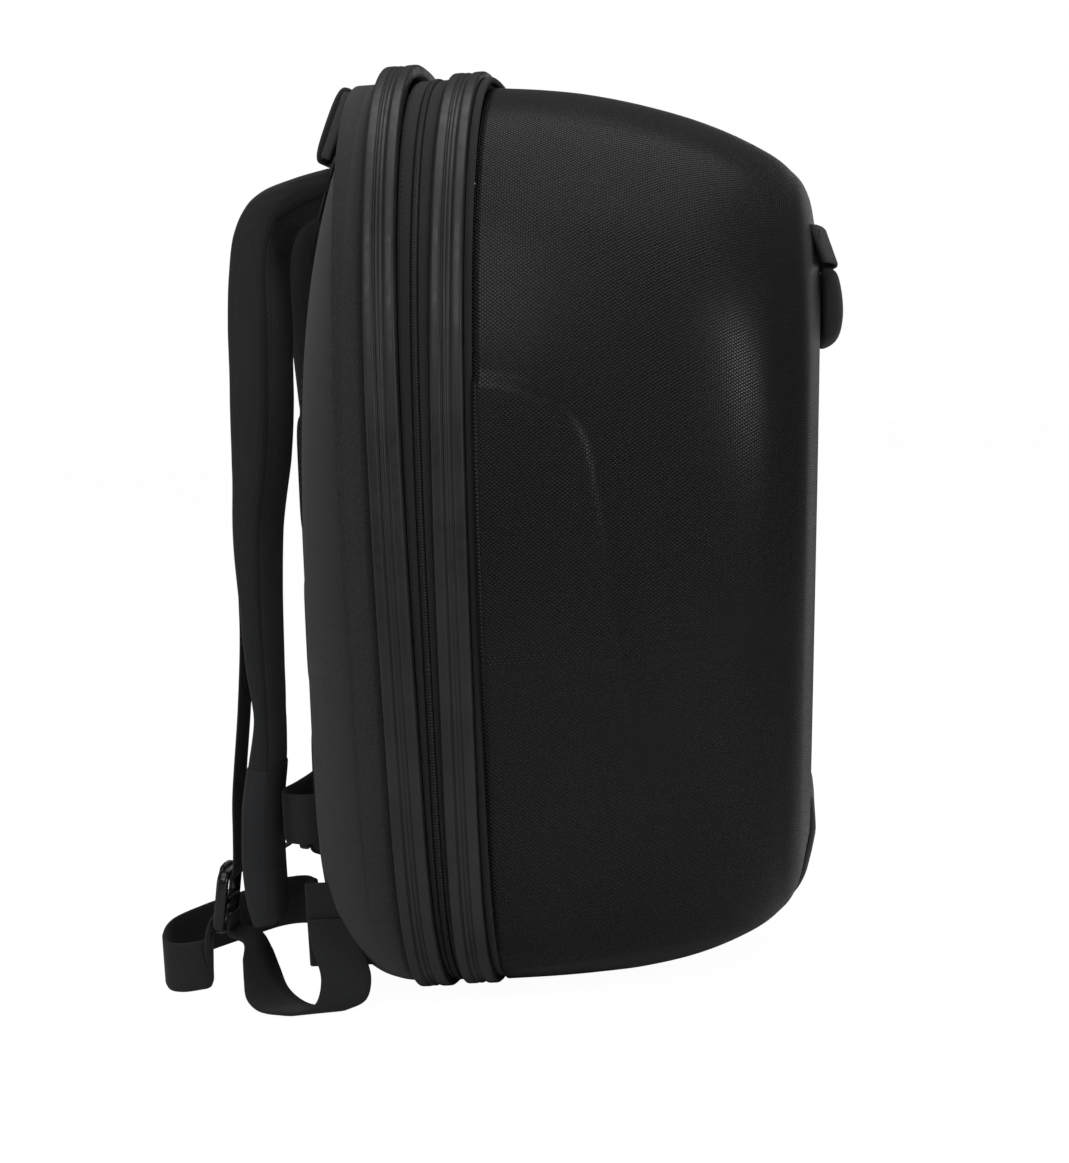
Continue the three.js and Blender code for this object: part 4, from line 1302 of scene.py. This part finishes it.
def cushion_form(width, height, power, rows, steps, middle, lift, held=9):
    """A closed form with a rounded outline in the back's plane. rows: share of the outline, and
    thickness over the seat. lift(x, z) is the seat's own place in depth."""
    marked = [{"pole": share == 0} for share, _ in rows]
    bm, row_of = rings(marked, steps, closed=False)
    held_of = bm.verts.layers.int.new("held")
    lay = bm.loops.layers.uv.new("cut")
    for vertex in bm.verts:
        angle = math.atan2(vertex.co.z, vertex.co.x)
        share, thick = rows[vertex[row_of]]
        vertex[held_of] = int(vertex[row_of] < held)
        c, s = math.cos(angle), math.sin(angle)
        x = middle[0] + share * width / 2 * math.copysign(abs(c) ** (2 / power), c)
        z = middle[1] + share * height / 2 * math.copysign(abs(s) ** (2 / power), s)
        vertex.co = (x, lift(x, z) + thick, z)
    bmesh.ops.recalc_face_normals(bm, faces=bm.faces[:])
    for face in bm.faces:
        for loop in face.loops:
            loop[lay].uv = (loop.vert.co.x, loop.vert.co.z)
    return bm


def crowned_rows(thickness, edge, seam=0.86, dip=0.3, count=9):
    """Rows of a sewn pad: flat underside, thin bound edge, a sewn dip and a crowned middle."""
    rows = [(0, 0), (0.5, 0), (0.97, 0), (1.0, edge * 0.3), (1.0, edge * 0.75), (0.985, edge),
            (seam + 0.05, edge * 1.05), (seam + 0.012, edge * (1 - dip)), (seam - 0.012, edge * (1 - dip))]
    for k in range(1, count + 1):
        t = k / count
        rise = math.sin(math.pi / 2 * t ** 0.55)
        rows.append((seam * (1 - t) - 0.02 * (1 - t), edge + (thickness - edge) * rise))
    rows[-1] = (0, thickness)
    return rows


PANEL = {"width": 214, "height": 262, "middle": 205, "thickness": 2}
PAD = {"width": 90, "height": 66, "thickness": 5.5, "gap": 12, "lowest": 108, "pitch": 78, "rows": 3}
YOKE = {"width": 170, "height": 34, "middle": CASE_HEIGHT - 66, "thickness": 2}


def make_back():
    def seat(x, z):
        return base_back(x, z) + AIR

    bm = cushion_form(PANEL["width"], PANEL["height"], 5.0, crowned_rows(PANEL["thickness"], 1.7, 0.95), 96,
                      (0, PANEL["middle"]), seat)
    soften(piece(bm, "back_mesh_panel", MESH, "air_mesh", "back_panel"))
    for hand, side in SIDES:
        for row in range(PAD["rows"]):
            middle = (side * (PAD["width"] + PAD["gap"]) / 2, PAD["lowest"] + row * PAD["pitch"])
            bm = cushion_form(
                PAD["width"], PAD["height"], 5.5, crowned_rows(PAD["thickness"] + 0.8, 2.4, 0.9), 72,
                middle, lambda x, z: base_reach(z) + PANEL["thickness"] + 3 * AIR,
            )
            place = f"{hand}_{row + 1}"
            pad = piece(bm, f"back_cushion_{place}", MESH, "air_mesh", f"back_pad_{place}")
            swell(pad, 4, 3.2)
    bm = cushion_form(YOKE["width"], YOKE["height"], 9.0, crowned_rows(YOKE["thickness"], 1.8, 0.93), 96,
                      (0, YOKE["middle"]), seat)
    piece(bm, "yoke_patch", GRIP, "grip_fabric", "harness_yoke")


# Handles and foot
CARRY = {
    "width": 36, "span": 124, "rise": 15, "sink": 3, "height": CASE_HEIGHT - 34, "tilt": 0.41, "grip": 76,
    "thick": 8, "roll": 1.5,
}
FRONT = {
    "span": 130, "height": CASE_HEIGHT - 109, "width": 20, "rise": 7, "grip": 96, "grip_height": 42,
    "thick": 12,
}
FOOT = {"length": 110, "bottom": 24, "top": 83, "proud": 3.8}


def carry_stations(half, width, thickness, count):
    slope = Vector((0, -math.sin(CARRY["tilt"]), math.cos(CARRY["tilt"])))
    out = Vector((0, math.cos(CARRY["tilt"]), math.sin(CARRY["tilt"])))
    seat = Vector((0, base_back(0, CARRY["height"]), CARRY["height"]))
    points = []
    for k in range(41):
        x = -half + 2 * half * k / 40
        lift = (CARRY["rise"] + CARRY["sink"]) * max(math.cos(math.pi * x / CARRY["span"]), 0) ** 0.6
        points.append(seat + out * (lift - CARRY["sink"]) + Vector((x, 0, 0)))
    line = spline(points, count)
    return [
        (middle, slope, way.cross(slope).normalized(), width, thickness, along)
        for (middle, _, along), way in zip(line, tangents(line))
    ]


def make_carry_handle():
    half = CARRY["span"] / 2 - 3
    bm = swept(carry_stations(half, CARRY["width"], WEBBING_THICKNESS, 80), flat_ring())
    piece(bm, "carry_tape", WEBBING, "webbing", "carry_strap")
    stations = carry_stations(CARRY["grip"] / 2, CARRY["width"] + 6, CARRY["thick"] + 2 * CARRY["roll"], 50)
    ends = len(stations) - 1
    rolled = []
    for k, (middle, across, out, width, thickness, along) in enumerate(stations):
        middle = middle + out * CARRY["roll"]
        near = min(k, ends - k) / 3
        ease = min(1.0, 0.72 + 0.28 * math.sqrt(max(near, 0.0))) if near < 1 else 1.0
        rolled.append((middle, across, out, width * (0.96 + 0.04 * ease), thickness * ease, along))
    grip = piece(swept(rolled, oval(36, 3.4), hold=2), "carry_grip_roll", GRIP, "grip_fabric", "carry_grip")
    swell(grip, 4, 1.5)


# How the front grip swells from its lower edge to its upper one: height share, thickness share
GRIP_SWELL = (
    (0.0, 0.25), (0.06, 0.62), (0.15, 0.86), (0.32, 1.0), (0.55, 0.97), (0.8, 0.78), (0.94, 0.62),
    (1.0, 0.45),
)


def make_front_handle():
    half = FRONT["span"] / 2
    y = shell_front(0, FRONT["height"])
    points = []
    for k in range(41):
        x = -half + 2 * half * k / 40
        rise = (FRONT["rise"] + 1) * max(math.cos(math.pi * x / FRONT["span"]), 0) ** 0.6 - 1
        points.append((x, y - rise, FRONT["height"]))
    line = spline(points, 80)
    lean = Vector((0, 0.3, 1)).normalized()
    stations = [(p, lean, way.cross(lean).normalized(), FRONT["width"], WEBBING_THICKNESS, along)
                for (p, _, along), way in zip(line, tangents(line))]
    piece(swept(stations, flat_ring()), "front_tape", WEBBING, "webbing", "front_strap")
    top = FRONT["height"] - FRONT["width"] / 2 - AIR
    low = top - FRONT["grip_height"]
    rows = [(0, 0), (0.5, 0), (0.93, 0), (0.985, 0.12), (1.0, 0.3), (0.99, 0.5), (0.955, 0.72), (0.9, 0.86),
            (0.8, 0.94), (0.6, 0.98), (0.4, 1), (0.2, 1), (0, 1)]

    def seat(x, z):
        return shell_front(x, z) - 0.3

    bm = cushion_form(FRONT["grip"], FRONT["grip_height"], 4.2, [(s, 0) for s, _ in rows], 80,
                      (0, (top + low) / 2), seat, held=5)
    row_of = bm.verts.layers.int["row"]
    for vertex in bm.verts:
        bulge = read(GRIP_SWELL, (vertex.co.z - low) / (top - low))[0]
        vertex.co.y -= rows[vertex[row_of]][1] * FRONT["thick"] * (0.35 + 0.65 * bulge)
    bmesh.ops.recalc_face_normals(bm, faces=bm.faces[:])
    grip = swell(piece(bm, "front_grip_pad", GRIP, "grip_fabric", "front_grip"), 4, 1.0)


def make_foot():
    """The low bar across the bottom of the moulded front, with eased ends."""
    rows = [(0, 0), (0.6, 0), (0.985, 0), (1.0, 0.1), (0.995, 0.35), (0.97, 0.66), (0.93, 0.85),
            (0.86, 0.95), (0.7, 1), (0.4, 1), (0, 1)]
    middle = (FOOT["bottom"] + FOOT["top"]) / 2
    bm = cushion_form(FOOT["length"], FOOT["top"] - FOOT["bottom"], 5, [(s, 0) for s, _ in rows], 80,
                      (0, middle), lambda x, z: shell_front(x, z) - AIR)
    row_of = bm.verts.layers.int["row"]
    for vertex in bm.verts:
        share = (vertex.co.z - FOOT["bottom"]) / (FOOT["top"] - FOOT["bottom"])
        proud = FOOT["proud"] * math.sin(math.pi * (0.04 + 0.92 * min(max(share, 0), 1))) ** 0.5
        vertex.co.y -= rows[vertex[row_of]][1] * proud
    bmesh.ops.recalc_face_normals(bm, faces=bm.faces[:])
    piece(bm, "foot_bar", RIM, "foot_rubber", "front_foot")


# Thread and zip sliders
SLIDER = {"length": 14, "width": 9, "thick": 3.6}
THREAD_WIDTH = 0.55
THREAD_RISE = 0.45
ZIP_SEAM_LENGTHS = 220


def sew(name, slot, lines, pitch=3.4):
    """Rows of raised stitches. lines: each a list of points with the way its cloth faces."""
    bm = bmesh.new()
    for points, facing in lines:
        for a, b in zip(points, points[1:]):
            a, b = Vector(a), Vector(b)
            count = max(1, round((b - a).length / pitch))
            along = (b - a).normalized()
            across = along.cross(facing).normalized()
            turn = Matrix((along, across, along.cross(across))).transposed().to_4x4()
            for k in range(count):
                at = Matrix.Translation(a + (b - a) * ((k + 0.5) / count))
                size = Matrix.Diagonal((pitch * 0.68, THREAD_WIDTH, THREAD_RISE, 1))
                bmesh.ops.create_cube(bm, size=1, matrix=at @ turn @ size)
    bmesh.ops.bevel(bm, geom=bm.edges[:], offset=0.12, affect="EDGES", segments=1, profile=0.5, material=-1)
    lay_by(bm, lambda co: (co.x + co.y, co.z))
    piece(bm, name, THREAD, slot)


def box_and_cross(middle, across, up, width, height):
    """The corners of a sewn box with a cross in it, in one go."""
    corner = [middle + across * (a * width / 2) + up * (b * height / 2)
              for a, b in ((-1, -1), (1, -1), (1, 1), (-1, 1))]
    return [corner[k] for k in (0, 1, 2, 3, 0, 2, 3, 1)]


def make_stitches():
    level = AIR + WEBBING_THICKNESS + 0.5
    for hand, side in SIDES:
        middle = strap_face(side, 197, level)
        up = (strap_face(side, 205, level) - strap_face(side, 189, level)).normalized()
        lines = [(box_and_cross(middle, ACROSS_X, up, 19, 13), Vector((0, 1, 0)))]
        sew(f"strap_stitches_{hand}", "webbing", lines, 2.6)
    frame_line = []
    half_width, half_height = YOKE["width"] / 2 - 5, YOKE["height"] / 2 - 4
    for k in range(81):
        angle = 2 * math.pi * k / 80
        c, s = math.cos(angle), math.sin(angle)
        x = half_width * math.copysign(abs(c) ** 0.25, c)
        z = YOKE["middle"] + half_height * math.copysign(abs(s) ** 0.25, s)
        frame_line.append((x, base_back(x, z) + AIR + YOKE["thickness"] + 0.1, z))
    sew("yoke_stitches", "grip_fabric", [(frame_line, Vector((0, 1, 0.4)))], 3.2)
    lines = []
    for side in (-1, 1):
        x = side * (FRONT["span"] / 2 - 7)
        y = shell_front(x, FRONT["height"]) - WEBBING_THICKNESS - 0.7
        corners = box_and_cross(Vector((x, y, FRONT["height"])), ACROSS_X, UP, 9, 14)
        lines.append((corners, FORWARD))
    sew("front_tape_stitches", "webbing", lines, 2.4)
    seams = (("back", lambda z: -RIM_DEPTH - 1.5), ("fore", lambda z: rim_rear_of_front(z) + 1.5))
    for name, place in seams:
        lines = []
        for k in range(ZIP_SEAM_LENGTHS):
            ends = []
            for share in (k / ZIP_SEAM_LENGTHS, (k + 1) / ZIP_SEAM_LENGTHS):
                x, z = outline(angle_along(share), *FRONT_SECTION[1:], inset=ZIP_RECESS + 0.05)
                ends.append(Vector((x, place(z), z)))
            out = (ends[0] + ends[1]) / 2 - Vector((0, ends[0].y, WIDEST))
            lines.append((ends, out.normalized()))
        sew(f"zip_stitches_{name}", "zip_fabric", lines, 3.2)


def make_sliders():
    for k in (1, 2):
        low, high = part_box(f"zip_slider_{k}")
        low, high = (low - ORIGIN) / MM, (high - ORIGIN) / MM
        middle = (low + high) / 2
        bm = bmesh.new()
        top = high.z - SLIDER["length"] / 2
        eased_box(bm, (SLIDER["thick"], SLIDER["width"], SLIDER["length"]), (middle.x, middle.y, top), 1.2)
        bridge = [(high.x - 1, middle.y, top + 5), (high.x - 0.3, middle.y, top + 2),
                  (high.x - 0.3, middle.y, top - 3), (high.x - 1, middle.y, top - 6)]
        bar(bm, bridge, oval(10, 3), 3, 1.4, Vector((0, 1, 0)))
        pull = top - SLIDER["length"] / 2 - 8
        eased_box(bm, (1.6, SLIDER["width"] * 0.55, 20), (middle.x + 0.6, middle.y, pull), 0.7)
        bmesh.ops.recalc_face_normals(bm, faces=bm.faces[:])
        piece(bm, f"slider_and_pull_{k}", METAL, "slider_metal", f"zip_slider_{k}")


make_straps()
make_webbing()
make_buckle()
make_back()
make_carry_handle()
make_front_handle()
make_foot()
make_sliders()
make_stitches()


# Studio
FLOOR_SIZE = 12
FLOOR_TONE = (0.85, 0.85, 0.85, 1)
FLOOR_SHADE = (0.2, 0.2, 0.2, 1)
WHITE = (1, 1, 1, 1)
# name, place, what it faces, width and height in millimetres, power in watts
LIGHTS = (
    ("overhead", (0, -250, 1700), (0, -100, 200), (1300, 1300), 8),
    ("window", (-1250, 115, 1330), (-150, 20, 366), (430, 800), 3.6),
    ("front_panel", (-1195, -1240, 860), (-145, -190, 290), (230, 720), 4.4),
    ("back_panel", (-700, 1300, 500), (-100, 60, 300), (500, 900), 2),
    ("behind", (1500, -250, 350), (0, -60, 240), (1500, 900), 1.4),
)


def make_stage():
    """A pale floor that lights the pack evenly and is seen as nearly white."""
    bm = bmesh.new()
    bmesh.ops.create_grid(bm, x_segments=1, y_segments=1, size=FLOOR_SIZE)
    mesh = bpy.data.meshes.new("floor")
    bm.to_mesh(mesh)
    bm.free()
    floor = bpy.data.objects.new("floor", mesh)
    bpy.context.scene.collection.objects.link(floor)
    look = bpy.data.materials.new("pale_floor")
    look.use_nodes = True
    tree = look.node_tree
    tree.nodes.clear()
    n = Nodes(tree)
    camera_ray = n.add("ShaderNodeLightPath").outputs["Is Camera Ray"]
    pale = n.add("ShaderNodeBsdfDiffuse", Color=FLOOR_TONE)
    white = n.add("ShaderNodeEmission", Color=WHITE, Strength=0.97)
    shaded = n.add("ShaderNodeBsdfDiffuse", Color=FLOOR_SHADE)
    seen = n.add("ShaderNodeAddShader", i0=white.outputs[0], i1=shaded.outputs[0])
    both = n.add("ShaderNodeMixShader", i0=camera_ray, i1=pale.outputs[0], i2=seen.outputs[0])
    out = n.add("ShaderNodeOutputMaterial")
    tree.links.new(both.outputs[0], out.inputs[0])
    mesh.materials.append(look)


def make_world():
    world = bpy.data.worlds.new("studio")
    bpy.context.scene.world = world
    world.use_nodes = True
    tree = world.node_tree
    tree.nodes.clear()
    n = Nodes(tree)
    camera_ray = n.add("ShaderNodeLightPath").outputs["Is Camera Ray"]
    dim = n.add("ShaderNodeBackground", Color=WHITE, Strength=0.1)
    white = n.add("ShaderNodeBackground", Color=WHITE, Strength=1.0)
    both = n.add("ShaderNodeMixShader", i0=camera_ray, i1=dim.outputs[0], i2=white.outputs[0])
    out = n.add("ShaderNodeOutputWorld")
    tree.links.new(both.outputs[0], out.inputs[0])


def area_light(name, at, aim, size, power):
    data = bpy.data.lights.new(name, "AREA")
    data.shape = "RECTANGLE"
    data.size, data.size_y = size[0] * MM, size[1] * MM
    data.energy = power
    light = bpy.data.objects.new(name, data)
    bpy.context.scene.collection.objects.link(light)
    direction = Vector(aim) - Vector(at)
    turn = direction.to_track_quat("-Z", "Y").to_matrix().to_4x4()
    light.matrix_world = Matrix.Translation(in_frame(at)) @ turn


make_stage()
make_world()
for light_row in LIGHTS:
    area_light(*light_row)
bpy.context.scene.view_settings.view_transform = "Standard"
